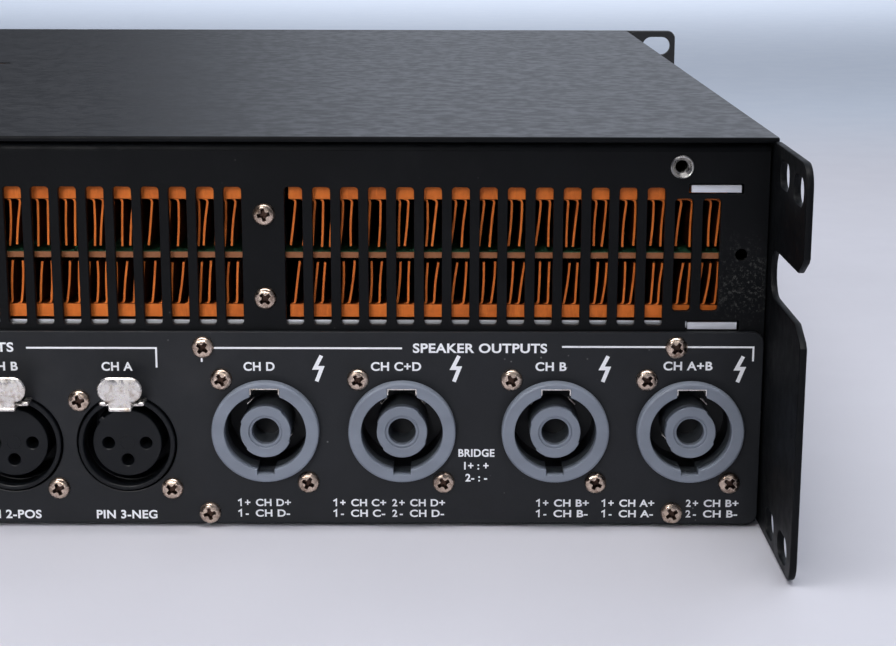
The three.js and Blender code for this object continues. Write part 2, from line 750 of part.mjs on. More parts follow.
function fanFrame(side) {
  const { x, size, depth, bore, corner, z } = FAN;
  const { thickness, half, inset, hub } = FAN_STRUT;
  const reach = size / 2;
  const rear = FAN_FRONT + depth;
  const from = rear - thickness;
  const centre = side * x;
  const shape = roundedRectangle(centre - reach, centre + reach, z - reach, z + reach, corner);
  const ring = plateAcrossY(shape, FAN_FRONT, rear, 2).subtract(
    rodAlongY(centre, z, bore, FAN_FRONT - PAST, rear + PAST, FINE_FACETS),
  );
  const length = 2 * (reach - inset);
  return joined([
    ring,
    centredBox(centre, z, length, 2 * half, from, rear),
    centredBox(centre, z, 2 * half, length, from, rear),
    rodAlongY(centre, z, hub, from, rear, FACETS),
  ]);
}

function fanRotor(side) {
  const { x, bore, z, depth } = FAN;
  const { count, chord, thickness, twist, from } = FAN_BLADE;
  const tip = bore - FAN_HUB.tipClearance;
  const hubFrom = FAN_FRONT + FAN_HUB.setback;
  const hubTo = FAN_FRONT + depth - FAN_STRUT.thickness - GAP;
  const blades = [];
  for (let i = 0; i < count; i++) {
    const geometry = new THREE.BoxGeometry(chord, thickness, tip - from);
    geometry.rotateZ(twist);
    geometry.translate(0, (hubFrom + hubTo) / 2, (from + tip) / 2);
    geometry.rotateY((i * 2 * Math.PI) / count);
    blades.push(solid(geometry));
  }
  const hub = rodAlongY(0, 0, FAN_HUB.radius, hubFrom, hubTo);
  const sweep = rodAlongY(0, 0, tip, hubFrom, hubTo, FINE_FACETS);
  return joined([hub, ...blades]).intersect(sweep).translate([side * x, 0, z]);
}

// A bow handle's outline in (y, z), bent round two corners.
function handleOutline() {
  const { bar, low, high, reach } = HANDLE;
  const { outer, inner } = HANDLE_CORNER;
  const root = PANEL_FRONT - GAP;
  const tip = PANEL_FRONT - reach;
  const innerY = tip + bar + inner;
  const shape = new THREE.Shape();
  shape.moveTo(root, low);
  shape.lineTo(root, low + bar);
  shape.lineTo(innerY, low + bar);
  shape.absarc(innerY, low + bar + inner, inner, -Math.PI / 2, Math.PI, true);
  shape.lineTo(tip + bar, high - bar - inner);
  shape.absarc(innerY, high - bar - inner, inner, Math.PI, Math.PI / 2, true);
  shape.lineTo(root, high - bar);
  shape.lineTo(root, high);
  shape.lineTo(tip + outer, high);
  shape.absarc(tip + outer, high - outer, outer, Math.PI / 2, Math.PI);
  shape.lineTo(tip, low + outer);
  shape.absarc(tip + outer, low + outer, outer, Math.PI, 1.5 * Math.PI);
  return shape;
}

function handle(side) {
  const { x, width } = HANDLE;
  return plateAcrossX(handleOutline(), side * x - width / 2, side * x + width / 2, 4);
}

function controlFascia() {
  const { half, low, high, corner } = FASCIA;
  const shape = roundedRectangle(-half, half, low, high, corner);
  const from = FASCIA_FACE - PAST;
  const to = FASCIA_BACK + PAST;
  const holes = KNOB_X.map((x) => rodAlongY(x, KNOB_Z, KNOB.shaftHole, from, to, SMALL_FACETS));
  const width = 2 * (ROCKER.halfWidth + ROCKER_ROOM.side);
  const height = 2 * (ROCKER.radius + ROCKER_ROOM.end);
  holes.push(centredBox(ROCKER.x, ROCKER.z, width, height, from, to));
  return cut(plateAcrossY(shape, FASCIA_FACE, FASCIA_BACK), holes);
}

function levelKnob(x) {
  const { radius, front, shoulder, length, shaft } = KNOB;
  const face = KNOB_BACK - length;
  const profile = [
    [0, face],
    [front, face],
    [shoulder, face + PAST],
    [radius, KNOB_BACK],
    [shaft, KNOB_BACK],
    [shaft, KNOB_SHAFT_END],
    [0, KNOB_SHAFT_END],
  ];
  return turnedAboutY(profile, x, KNOB_Z);
}

// A rocker whose outline stays inside a circle round its pivot, so it turns freely in its hole.
function powerRocker() {
  const { x, z, halfWidth, radius, restDegrees } = ROCKER;
  const { edge, edgeHeight, dip, back } = ROCKER_FACE;
  const round = rodAlongX(0, 0, radius, x - halfWidth, x + halfWidth, FINE_FACETS);
  const faceShape = outline([
    [edge, radius],
    [edge, radius - edgeHeight],
    [dip, 0],
    [edge, edgeHeight - radius],
    [edge, -radius],
    [back, -radius],
    [back, radius],
  ]);
  const face = plateAcrossX(faceShape, x - halfWidth - PAST, x + halfWidth + PAST);
  return round.intersect(face).rotate([restDegrees, 0, 0]).translate([0, ROCKER_PIVOT_Y, z]);
}

// ---- assembly -----------------------------------------------------------------------------

function addCase() {
  addPart("bottom_plate", bottomPlate(), BLACK_SHEET);
  addPart("side_plate_left", sidePlate(-1), BLACK_SHEET);
  addPart("side_plate_right", sidePlate(1), BLACK_SHEET);
  addPart("top_cover", topCover(), COVER_BLACK);
  addPart("rear_vent_panel", rearVentPanel(), BLACK_SHEET);
  addPart("connector_plate", connectorPlate(), BLACK_SHEET);
}

function addSockets() {
  SPEAKER_X.forEach((x, i) => addPart(`speaker_socket_${i + 1}`, speakerSocket(x), GREY_PLASTIC));
  XLR_X.forEach((x, i) => {
    addPart(`xlr_shell_${i + 1}`, xlrShell(x), BLACK_PLASTIC);
    addPart(`xlr_insert_${i + 1}`, xlrInsert(x), BLACK_PLASTIC);
    addPart(`xlr_latch_${i + 1}`, xlrLatch(x), NICKEL);
  });
  addPart("mains_inlet", mainsInlet(), BLACK_PLASTIC);
  addPart("dip_switch_block", dipSwitchBlock(), BLACK_PLASTIC);
  for (let i = 0; i < DIP.count; i++) {
    addPart(`dip_lever_${i + 1}`, dipLever(i), GREY_PLASTIC);
  }
}

function addInside() {
  addPart("tunnel_plate_top", tunnelPlate(TUNNEL_TOP), ALUMINIUM);
  addPart("tunnel_plate_bottom", tunnelPlateBottom(), ALUMINIUM);
  addHeatsinks();
  addPart("amp_board_left", ampBoard(-1), BOARD_GREEN);
  addPart("amp_board_right", ampBoard(1), BOARD_GREEN);
  addPart("psu_board", psuBoard(), BOARD_GREEN);
  addPart("transformer", transformer(), WINDING);
  addPart("capacitor_bank", capacitorBank(), BLACK_PLASTIC);
}

function addFront() {
  addPart("front_panel", frontPanel(), BLACK_SHEET);
  for (const [name, side] of [
    ["left", -1],
    ["right", 1],
  ]) {
    addPart(`front_grille_${name}`, frontGrille(side), BLACK_SHEET);
    addPart(`filter_foam_${name}`, filterFoam(side), FOAM_BLACK);
    addPart(`fan_frame_${name}`, fanFrame(side), BLACK_PLASTIC);
    addPart(`fan_rotor_${name}`, fanRotor(side), BLACK_PLASTIC);
    addPart(`handle_${name}`, handle(side), BLACK_SHEET);
  }
  addPart("control_fascia", controlFascia(), BLACK_PLASTIC);
  KNOB_X.forEach((x, i) => addPart(`level_knob_${i + 1}`, levelKnob(x), BLACK_PLASTIC));
  addPart("power_rocker", powerRocker(), BLACK_PLASTIC);
}

addCase();
addSockets();
addInside();
addFront();

export default amplifier;
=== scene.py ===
"""Looks for a two-unit, four-channel rack power amplifier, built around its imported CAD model.

Shapes are made in millimetres and placed through one of four views of the case:
REAR looks at the connector side, FRONT at the control side, SIDE across the case, TOP from above.
"""

import math
import random

import bpy
from mathutils import Matrix, Vector
from mathutils.geometry import tessellate_polygon


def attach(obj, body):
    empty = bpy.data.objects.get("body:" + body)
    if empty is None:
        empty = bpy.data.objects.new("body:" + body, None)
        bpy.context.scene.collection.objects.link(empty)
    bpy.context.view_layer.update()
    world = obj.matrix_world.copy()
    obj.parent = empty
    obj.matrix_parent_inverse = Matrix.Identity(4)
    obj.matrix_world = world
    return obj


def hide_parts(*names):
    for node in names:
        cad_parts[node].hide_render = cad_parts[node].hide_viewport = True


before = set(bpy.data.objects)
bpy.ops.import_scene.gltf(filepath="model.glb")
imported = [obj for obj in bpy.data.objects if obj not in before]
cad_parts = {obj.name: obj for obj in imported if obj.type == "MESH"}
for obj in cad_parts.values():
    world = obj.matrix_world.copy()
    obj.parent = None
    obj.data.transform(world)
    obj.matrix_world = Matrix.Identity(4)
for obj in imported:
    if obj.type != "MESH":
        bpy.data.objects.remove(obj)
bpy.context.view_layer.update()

MM = 0.001

# ---- driving dimensions, in millimetres, as in the CAD model ---------------------------------

REAR_Y = 171.0
FRONT_Y = -171.0
HEIGHT = 88.0
HALF_BODY = 222.5
HALF_RACK = 241.5
SHEET = 1.5
COVER_SHEET = 1.2
GAP = 0.3
INNER_HALF = HALF_BODY - SHEET
PANEL_TOP = HEIGHT - COVER_SHEET - GAP

VENT = {"half": 1.95, "low": 46.05, "high": 76.8, "corner": 0.75}
SHORT_VENT = {"low": 49.3, "high": 74.4}
VENT_BLOCKS = ({"first": 7.4, "pitch": 6.0, "count": 17, "short": 0},
               {"first": 116.7, "pitch": 6.1, "count": 16, "short": 2})
TAB = {"inner": 203.6, "outer": 214.5, "play": 0.5, "bottom": (45.2, 46.8), "top": (75.8, 77.4)}
POST_X = 110.25
WINDOW = {"margin": 3.5, "low": 6, "high": 39}
FOLD = {"bend": 1.6, "reach": 12}
SIDE_SLOTS = {"half": 5.3, "radius": 3.0, "spots": ((14.5, 81.6), (30.3, 81.0), (14.0, 4.8), (29.4, 4.8))}
COVER_SCREWS = {"spots": ((-10.5, -13.0), (10.5, -13.0)), "hole": 2.6, "seat": 2.9, "sunk": 0.55}
RIVET = {"r": 201.4, "z": 81.4, "radius": 2.55, "bore": 1.62}

SINKS = ((115.3, 212.0), (3.0, 105.2), (-105.2, -3.0), (-212.0, -115.3))
SINK_DEPTH = (-119.0, -3.0)
BOARD = (60.2, 61.5)
UPPER_BASE = (73.6, 76.6)
LOWER_BASE = (47.1, 50.2)

PLATE_HALF = 220.5
PLATE = {"low": 0.3, "high": 44.86, "corner": 2.5, "back": 0.3, "face": 1.5}
SPEAKERS = (109.98, 140.37, 174.49, 204.57)
SPEAKER_Z = 22.4
OVAL = 0.963
INPUTS = (78.74, 53.26, 27.78, 2.3)
INPUT_Z = 19.06
MAINS = {"x": -165.0, "z": 22.3}
DIP = {"x": -46.0, "z": 22.3, "pitch": 3.5, "count": 4}

PANEL_FRONT = 174.0
GRILLE = {"inner": 78.0, "outer": 196.0, "low": 12.0, "high": 76.0, "lap": 4.0}
EAR = {"inner": 222.9, "outer": 241.3, "low": 0.2, "high": 87.8, "corner": 2.8}
RACK_SLOTS = {"x": 234.0, "zs": (5.9, 82.1), "half": 5.5, "radius": 3.5}
FASCIA = {"half": 74.0, "low": 8.0, "high": 80.0, "corner": 4.0, "face": 178.3}
KNOBS = (-54.0, -26.0, 2.0, 30.0)
KNOB_Z = 26.0
LAMPS = {"z": 62.0, "shifts": (-5.0, 0.0, 5.0), "hole": 1.6, "radius": 1.45}
ROCKER = {"x": 58.0, "z": 44.0, "half": 6.3, "opening": (6.9, 9.8), "tilt": -6}
HANDLE = {"x": 209.0, "half": 4.5, "low": 8.0, "high": 80.0, "reach": 36.0}

DUST_HOLE = {"r": 214.97, "z": 62.0, "radius": 1.3}
DUST_PATCH = ((-0.2155, 0.171, 0.0560), 0.013)

# Columns give where a shape's a, b and c directions point in the row frame.
REAR = Matrix(((-1, 0, 0, 0), (0, 0, 1, REAR_Y), (0, 1, 0, 0), (0, 0, 0, 1)))
FRONT = Matrix(((1, 0, 0, 0), (0, 0, -1, 0), (0, 1, 0, 0), (0, 0, 0, 1)))
SIDE = Matrix(((0, 0, 1, 0), (1, 0, 0, 0), (0, 1, 0, 0), (0, 0, 0, 1)))
TOP = Matrix.Identity(4)


# ---- shapes ------------------------------------------------------------------------------------

class Shape:
    """Vertices in millimetres, faces that each carry a material number, and which faces are flat."""

    def __init__(self):
        self.vertices = []
        self.faces = []
        self.finishes = []
        self.flat = set()

    def ring(self, points):
        start = len(self.vertices)
        self.vertices.extend(Vector(p) for p in points)
        return list(range(start, start + len(points)))

    def face(self, corners, finish=0):
        self.faces.append(tuple(corners))
        self.finishes.append(finish)

    def bridge(self, lower, upper, finish=0):
        """Joins two rings of the same length, facing out when they run anticlockwise."""
        count = len(lower)
        for i in range(count):
            j = (i + 1) % count
            self.face((lower[i], lower[j], upper[j], upper[i]), finish)

    def cap(self, rings, up, finish=0):
        """Fills the first ring, less the others, facing +c or -c."""
        flat = [[Vector((self.vertices[i].x, self.vertices[i].y, 0)) for i in ring] for ring in rings]
        index = [i for ring in rings for i in ring]
        for triangle in tessellate_polygon(flat):
            self.flat.add(len(self.faces))
            corners = [index[i] for i in triangle]
            a, b, c = (self.vertices[i] for i in corners)
            turn = (b.x - a.x) * (c.y - a.y) - (b.y - a.y) * (c.x - a.x)
            self.face(corners if (turn > 0) == up else corners[::-1], finish)

    def add(self, other, place=None, finish=None):
        start = len(self.vertices)
        self.flat.update(len(self.faces) + number for number in other.flat)
        self.vertices.extend(place @ v if place else v.copy() for v in other.vertices)
        self.faces.extend(tuple(start + i for i in face) for face in other.faces)
        self.finishes.extend(other.finishes if finish is None else [finish] * len(other.faces))
        return self

    def placed(self, place):
        return Shape().add(self, place)

    def mirrored(self, place):
        """Placed by a matrix that turns the shape inside out, with its faces turned back."""
        made = self.placed(place)
        made.faces = [face[::-1] for face in made.faces]
        return made

    def moved(self, a=0.0, b=0.0, c=0.0, turn=0.0):
        return self.placed(Matrix.Translation((a, b, c)) @ Matrix.Rotation(turn, 4, "Z"))


def together(*shapes):
    whole = Shape()
    for shape in shapes:
        whole.add(shape)
    return whole


def circle(radius, a=0.0, b=0.0, count=48):
    turns = [2 * math.pi * i / count for i in range(count)]
    return [(a + radius * math.cos(t), b + radius * math.sin(t)) for t in turns]


def flattened(loop, share):
    """Squeezes a loop along b."""
    return [(a, b * share) for a, b in loop]


def arc(a, b, radius, start, end, steps):
    turns = [math.radians(start + (end - start) * i / steps) for i in range(steps + 1)]
    return [(a + radius * math.cos(t), b + radius * math.sin(t)) for t in turns]


def rounded_rectangle(a0, a1, b0, b1, radius, steps=5):
    corners = ((a1, b0, -90), (a1, b1, 0), (a0, b1, 90), (a0, b0, 180))
    points = []
    for a, b, start in corners:
        centre_a = a - radius if a == a1 else a + radius
        centre_b = b - radius if b == b1 else b + radius
        points += arc(centre_a, centre_b, radius, start, start + 90, steps)
    return points


def centred(half_a, half_b, radius, a=0.0, b=0.0, steps=5):
    """A rounded rectangle about (a, b)."""
    return rounded_rectangle(a - half_a, a + half_a, b - half_b, b + half_b, radius, steps)


def span(side, inner, outer):
    """The stretch from inner to outer on one side of the middle, its lower end first."""
    return sorted((side * inner, side * outer))


def keyed_circle(radius, keys, count=72):
    """A circle with square notches; a key is (direction in degrees, half width, reach)."""
    points = []
    for i in range(count):
        turn = 2 * math.pi * i / count
        near = [k for k in keys if abs((turn - math.radians(k[0]) + math.pi) % (2 * math.pi) - math.pi)
                < math.asin(k[1] / radius)]
        if not near:
            points.append((turn, radius * math.cos(turn), radius * math.sin(turn)))
    for direction, half, reach in keys:
        middle = math.radians(direction) % (2 * math.pi)
        side = math.asin(half / radius)
        along = Vector((math.cos(middle), math.sin(middle)))
        across = Vector((-along.y, along.x))
        foot = radius * math.cos(side)
        corners = ((-side, foot, -half), (-side * 0.9, reach, -half),
                   (side * 0.9, reach, half), (side, foot, half))
        for shift, out, over in corners:
            spot = along * out + across * over
            points.append(((middle + shift) % (2 * math.pi), spot.x, spot.y))
    return [(a, b) for _, a, b in sorted(points)]


def shifted(loop, a, b):
    return [(x + a, y + b) for x, y in loop]


def inset(loop, distance):
    """Moves each side of an anticlockwise loop inwards, or outwards for a negative distance."""
    count = len(loop)
    moved = []
    for i in range(count):
        before, here, after = (Vector(loop[(i + k) % count]) for k in (-1, 0, 1))
        first = (here - before).normalized()
        second = (after - here).normalized()
        normal = Vector((-first.y - second.y, first.x + second.x))
        square = normal.length_squared
        reach = 2 * distance / square if square > 0.4 else 0
        moved.append((here.x + normal.x * reach, here.y + normal.y * reach))
    return moved


def plate(outline, holes, low, high, bevel=0.2, finish=0, wall=None, top=None, lip=None):
    """A sheet from low to high along c, with a bevelled rim and a lip round each hole.

    The holes' walls and the top face may have finishes of their own.
    """
    shape = Shape()
    bottoms = []
    tops = []
    wall_step = 2
    for number, loop in enumerate([outline, *holes]):
        sign = 1 if number == 0 else -1
        full = bevel if number == 0 or lip is None else lip
        middle = full * 0.3
        steps = ((full, low), (middle, low + middle), (0, low + full),
                 (0, high - full), (middle, high - middle), (full, high))
        rings = [shape.ring([(a, b, c) for a, b in inset(loop, sign * d)]) for d, c in steps]
        side = finish if wall is None or number == 0 else wall
        for step, (lower, upper) in enumerate(zip(rings, rings[1:])):
            pair = (lower, upper) if number == 0 else (upper, lower)
            shape.bridge(*pair, side if step == wall_step else finish)
        bottoms.append(rings[0])
        tops.append(rings[-1])
    shape.cap(bottoms, False, finish)
    shape.cap(tops, True, finish if top is None else top)
    return shape


def block(a0, a1, b0, b1, low, high, radius=0.4, bevel=0.2, finish=0):
    return plate(rounded_rectangle(a0, a1, b0, b1, radius, 3), [], low, high, bevel, finish)


def turned(profile, count=48, closed=False, finish=0):
    """Turns (radius, c) points about the c axis; the profile runs up the outside."""
    shape = Shape()
    rings = []
    for radius, c in profile:
        if radius == 0:
            rings.append(shape.ring([(0, 0, c)]))
        else:
            rings.append(shape.ring([(a, b, c) for a, b in circle(radius, count=count)]))
    pairs = list(zip(rings, rings[1:])) + ([(rings[-1], rings[0])] if closed else [])
    for lower, upper in pairs:
        if len(lower) == 1:
            for i in range(count):
                shape.face((lower[0], upper[(i + 1) % count], upper[i]), finish)
        elif len(upper) == 1:
            for i in range(count):
                shape.face((lower[i], lower[(i + 1) % count], upper[0]), finish)
        else:
            shape.bridge(lower, upper, finish)
    return shape


def domed(outline, low, high, crown, rings=5, bevel=0.3, finish=0):
    """A pad on an outline, from low to high, whose top rises by crown to its middle."""
    shape = Shape()
    middle = Vector((sum(a for a, _ in outline), sum(b for _, b in outline))) / len(outline)
    bottom = shape.ring([(a, b, low) for a, b in outline])
    levels = [bottom, shape.ring([(a, b, high - bevel) for a, b in outline])]
    top = inset(outline, bevel)
    for i in range(rings):
        share = 1 - i / rings
        height = high + crown * (1 - share * share)
        spread = [middle + (Vector(p) - middle) * share for p in top]
        levels.append(shape.ring([(p.x, p.y, height) for p in spread]))
    for lower, upper in zip(levels, levels[1:]):
        shape.bridge(lower, upper, finish)
    shape.cap([bottom], False, finish)
    shape.cap([levels[-1]], True, finish)
    return shape


def swept(section, path, finish=0):
    """Carries an (across, out) section along a path of (point, out direction) in the b-a plane."""
    shape = Shape()
    rings = []
    for point, out in path:
        rings.append(shape.ring([point + out * o + Vector((0, 0, s)) for s, o in section]))
    for lower, upper in zip(rings, rings[1:]):
        shape.bridge(lower, upper, finish)
    shape.face(reversed(rings[0]), finish)
    shape.face(rings[-1], finish)
    return shape


# The built-in typeface's capitals, as shares of its size.
CAPITAL = {"height": 0.70, "middle": 0.345}


def lettering(text, cap, a, b, c, width=None, bold=0.028):
    """Raised ink for one line of text, cap high, centred on (a, b), and width wide if given."""
    curve = bpy.data.curves.new("line", "FONT")
    curve.body = text
    curve.offset = bold
    curve.space_character = 1.06
    holder = bpy.data.objects.new("line", curve)
    mesh = holder.to_mesh()
    scale = cap / (CAPITAL["height"] + 2 * bold)
    left = min(v.co.x for v in mesh.vertices)
    right = max(v.co.x for v in mesh.vertices)
    across = width / (right - left) if width else scale
    middle = (left + right) / 2
    shape = Shape()
    ring = shape.ring([((v.co.x - middle) * across + a, (v.co.y - CAPITAL["middle"]) * scale + b, c)
                       for v in mesh.vertices])
    for polygon in mesh.polygons:
        shape.face([ring[i] for i in polygon.vertices])
    holder.to_mesh_clear()
    bpy.data.objects.remove(holder)
    bpy.data.curves.remove(curve)
    return shape


def stroke(points, width, c, thickness=0.02):
    """A printed line with square ends and mitred corners."""
    spots = [Vector(point) for point in points]
    legs = [(after - before).normalized() for before, after in zip(spots, spots[1:])]
    right = []
    left = []
    for i, spot in enumerate(spots):
        before, after = legs[max(i - 1, 0)], legs[min(i, len(legs) - 1)]
        across = Vector((before.y + after.y, -before.x - after.x)).normalized()
        reach = width / 2 / across.dot(Vector((after.y, -after.x)))
        right.append(tuple(spot + across * reach))
        left.append(tuple(spot - across * reach))
    return plate(right + left[::-1], [], c, c + thickness, 0.004)


# ---- materials -----------------------------------------------------------------------------------

class Finish:
    """A Principled material whose sockets are driven by textures in the row frame."""

    def __init__(self, name, colour, roughness, metallic=0.0, specular=0.5):
        self.material = bpy.data.materials.new(name)
        self.material.use_nodes = True
        self.tree = self.material.node_tree
        self.shader = self.tree.nodes["Principled BSDF"]
        self.shader.inputs["Base Color"].default_value = (*colour, 1)
        self.shader.inputs["Roughness"].default_value = roughness
        self.shader.inputs["Metallic"].default_value = metallic
        self.shader.inputs["Specular IOR Level"].default_value = specular
        self.colour = colour
        self.object_space = self.node("ShaderNodeTexCoord").outputs["Object"]

    def node(self, kind, **settings):
        made = self.tree.nodes.new(kind)
        for key, value in settings.items():
            setattr(made, key, value)
        return made

    def link(self, source, target):
        self.tree.links.new(source, target)

    def stretched(self, scale):
        mapping = self.node("ShaderNodeMapping")
        mapping.inputs["Scale"].default_value = scale
        self.link(self.object_space, mapping.inputs["Vector"])
        return mapping.outputs["Vector"]

    def noise(self, scale, detail=3.0, roughness=0.5, stretch=(1, 1, 1)):
        texture = self.node("ShaderNodeTexNoise")
        texture.inputs["Scale"].default_value = scale
        texture.inputs["Detail"].default_value = detail
        texture.inputs["Roughness"].default_value = roughness
        self.link(self.stretched(stretch), texture.inputs["Vector"])
        return texture.outputs["Fac"]

    def cells(self, scale, feature="F1", output="Distance"):
        texture = self.node("ShaderNodeTexVoronoi", feature=feature)
        texture.inputs["Scale"].default_value = scale
        self.link(self.object_space, texture.inputs["Vector"])
        return texture.outputs[output]

    def axis(self, name):
        split = self.node("ShaderNodeSeparateXYZ")
        self.link(self.object_space, split.inputs["Vector"])
        return split.outputs[name]

    def level_share(self):
        """One on faces that look straight up or down, and nought on upright ones."""
        split = self.node("ShaderNodeSeparateXYZ")
        self.link(self.node("ShaderNodeNewGeometry").outputs["Normal"], split.inputs["Vector"])
        level = self.node("ShaderNodeMath", operation="ABSOLUTE")
        self.link(split.outputs["Z"], level.inputs[0])
        return self.remap(level.outputs["Value"], 0.4, 0.6)

    def distance(self, centre):
        away = self.node("ShaderNodeVectorMath", operation="DISTANCE")
        self.link(self.object_space, away.inputs[0])
        away.inputs[1].default_value = centre
        return away.outputs["Value"]

    def remap(self, value, low, high, to_low=0.0, to_high=1.0):
        mapper = self.node("ShaderNodeMapRange", interpolation_type="SMOOTHSTEP")
        for key, number in zip(("From Min", "From Max", "To Min", "To Max"), (low, high, to_low, to_high)):
            mapper.inputs[key].default_value = number
        self.link(value, mapper.inputs["Value"])
        return mapper.outputs["Result"]

    def product(self, first, second):
        made = self.node("ShaderNodeMath", operation="MULTIPLY")
        self.link(first, made.inputs[0])
        self.link(second, made.inputs[1])
        return made.outputs["Value"]

    def blend(self, share, low, high):
        """Mixes two colours, each a tuple or another blend's output, by share."""
        mix = self.node("ShaderNodeMix", data_type="RGBA")
        self.link(share, mix.inputs["Factor"])
        for key, value in (("A", low), ("B", high)):
            socket = [s for s in mix.inputs if s.name == key and s.type == "RGBA"][0]
            if isinstance(value, tuple):
                socket.default_value = (*value, 1)
            else:
                self.link(value, socket)
        return [s for s in mix.outputs if s.type == "RGBA"][0]

    def paint(self, colour):
        self.link(colour, self.shader.inputs["Base Color"])

    def roughen(self, value, low, high):
        self.link(self.remap(value, 0.3, 0.7, low, high), self.shader.inputs["Roughness"])

    def emboss(self, *layers):
        """Stacks bump layers, each (height, depth in millimetres)."""
        normal = None
        for height, depth in layers:
            bump = self.node("ShaderNodeBump")
            bump.inputs["Distance"].default_value = depth * MM
            bump.inputs["Strength"].default_value = 1.0
            self.link(height, bump.inputs["Height"])
            if normal:
                self.link(normal, bump.inputs["Normal"])
            normal = bump.outputs["Normal"]
        self.link(normal, self.shader.inputs["Normal"])


def shade(colour, factor):
    return tuple(channel * factor for channel in colour)


def powder_coat(name, colour, roughness, grain=0.05, specular=0.5, dust=0.0, patch=None):
    """Fine-textured powder coat: orange peel, slow mottling and a few dust specks.

    A patch is a dusty spot: its centre in metres, where its dust is thickest, and its radius.
    """
    finish = Finish(name, colour, roughness, specular=specular)
    mottle = finish.noise(45, 4, 0.6)
    base = finish.blend(finish.remap(mottle, 0.3, 0.7), shade(colour, 0.85), shade(colour, 1.18))
    if dust:
        spots = finish.remap(finish.cells(420), 0.05, 0.12, 1, 0)
        rare = finish.remap(finish.noise(90, 2), 0.60, 0.68)
        haze = finish.remap(finish.noise(14, 5, 0.7), 0.55, 0.8, 0, 0.25)
        base = finish.blend(haze, base, shade((0.20, 0.20, 0.21), dust))
        base = finish.blend(finish.product(spots, rare), base, shade((0.55, 0.55, 0.56), dust))
    if patch:
        centre, radius = patch
        nearness = finish.remap(finish.distance(centre), 0, radius, 1, 0)
        powder = finish.remap(finish.noise(1500, 4, 0.8), 0.52, 0.66, 0, 0.5)
        base = finish.blend(finish.product(nearness, powder), base, (0.16, 0.16, 0.15))
    finish.paint(base)
    finish.roughen(finish.noise(300, 3), roughness - 0.05, roughness + 0.07)
    finish.emboss((finish.noise(1400, 2, 0.55), grain), (finish.noise(500, 2), grain * 0.8))
    return finish.material


def moulding(name, colour, roughness, grain=0.01, scale=900.0, specular=0.5):
    """Moulded plastic: faint flow marks and a light texture."""
    finish = Finish(name, colour, roughness, 0.0, specular)
    flow = finish.noise(70, 3, 0.5, (1, 1, 2.5))
    finish.paint(finish.blend(finish.remap(flow, 0.3, 0.7), shade(colour, 0.92), shade(colour, 1.08)))
    finish.roughen(finish.noise(260, 3), roughness - 0.06, roughness + 0.08)
    finish.emboss((finish.noise(scale, 3), grain))
    return finish.material


def plated(name, colour, roughness, tarnish, grain=0.01):
    """Plated or bare metal with handling marks and darker tarnish."""
    finish = Finish(name, colour, roughness, 1.0)
    stain = finish.remap(finish.noise(420, 5, 0.65), 0.45, 0.72)
    finish.paint(finish.blend(stain, colour, tarnish))
    finish.roughen(finish.noise(900, 4), roughness - 0.08, roughness + 0.15)
    finish.emboss((finish.noise(1100, 4, 0.6), grain))
    return finish.material


def rolled_copper(name, fresh, old, metallic):
    """Folded copper stock: rolling lines, oxide bloom and brighter sheared spots."""
    finish = Finish(name, fresh, 0.42, metallic, 0.2)
    bloom = finish.remap(finish.noise(130, 5, 0.65), 0.35, 0.7)
    worn = finish.blend(bloom, fresh, old)
    streak = finish.remap(finish.noise(260, 3, 0.5, (6, 1, 1)), 0.5, 0.75, 0, 0.5)
    finish.paint(finish.blend(streak, worn, tuple(min(1.0, channel * 1.25) for channel in fresh)))
    finish.roughen(finish.noise(500, 3), 0.34, 0.55)
    finish.emboss((finish.noise(900, 3, 0.5, (4, 1, 1)), 0.02))
    return finish.material


def rolled_aluminium(name):
    """Sheared sheet: bright cut edges, and flats painted dark grey as painted shade."""
    finish = Finish(name, (0.80, 0.81, 0.83), 0.35, 1.0)
    scratches = finish.noise(500, 4, 0.6, (0.08, 1, 1))
    edge = finish.blend(finish.remap(scratches, 0.35, 0.7), (0.92, 0.93, 0.95), (0.62, 0.63, 0.65))
    # Faces that look up or down get the dark grey: painted shade on the flats.
    finish.paint(finish.blend(finish.level_share(), edge, (0.10, 0.10, 0.10)))
    finish.roughen(scratches, 0.28, 0.5)
    finish.emboss((scratches, 0.01))
    return finish.material


def circuit_board(name):
    """Solder mask with tracks on the faces, and bare glass fibre on the cut edges."""
    finish = Finish(name, (0.03, 0.12, 0.05), 0.4)
    tracks = finish.remap(finish.cells(160, "DISTANCE_TO_EDGE"), 0.02, 0.05)
    mask = finish.blend(tracks, (0.020, 0.085, 0.045), (0.04, 0.16, 0.085))
    fibre = finish.blend(finish.noise(1500, 3), (0.42, 0.145, 0.045), (0.28, 0.095, 0.030))
    finish.paint(finish.blend(finish.level_share(), fibre, mask))
    finish.roughen(finish.noise(700, 3), 0.35, 0.6)
    finish.emboss((tracks, 0.02))
    return finish.material


def ink(name, colour):
    finish = Finish(name, colour, 0.6)
    wear = finish.remap(finish.noise(900, 4, 0.6), 0.6, 0.8, 0, 0.5)
    finish.paint(finish.blend(wear, colour, shade(colour, 0.55)))
    finish.roughen(finish.noise(800, 3), 0.5, 0.7)
    finish.emboss((finish.noise(1600, 2), 0.01))
    return finish.material


def foam(name):
    finish = Finish(name, (0.012, 0.012, 0.013), 0.95)
    pores = finish.cells(900)
    finish.paint(finish.blend(finish.remap(pores, 0.2, 0.6), (0.004, 0.004, 0.004), (0.03, 0.03, 0.032)))
    finish.roughen(finish.noise(900, 3), 0.9, 1.0)
    finish.emboss((pores, 0.5))
    return finish.material


def lens(name, colour):
    """An unlit indicator's tinted lens."""
    finish = Finish(name, colour, 0.2)
    finish.shader.inputs["Coat Weight"].default_value = 0.6
    depth = finish.noise(1500, 2)
    finish.paint(finish.blend(finish.remap(depth, 0.3, 0.7), shade(colour, 0.8), shade(colour, 1.2)))
    finish.roughen(depth, 0.15, 0.3)
    finish.emboss((finish.noise(1200, 2), 0.01))
    return finish.material


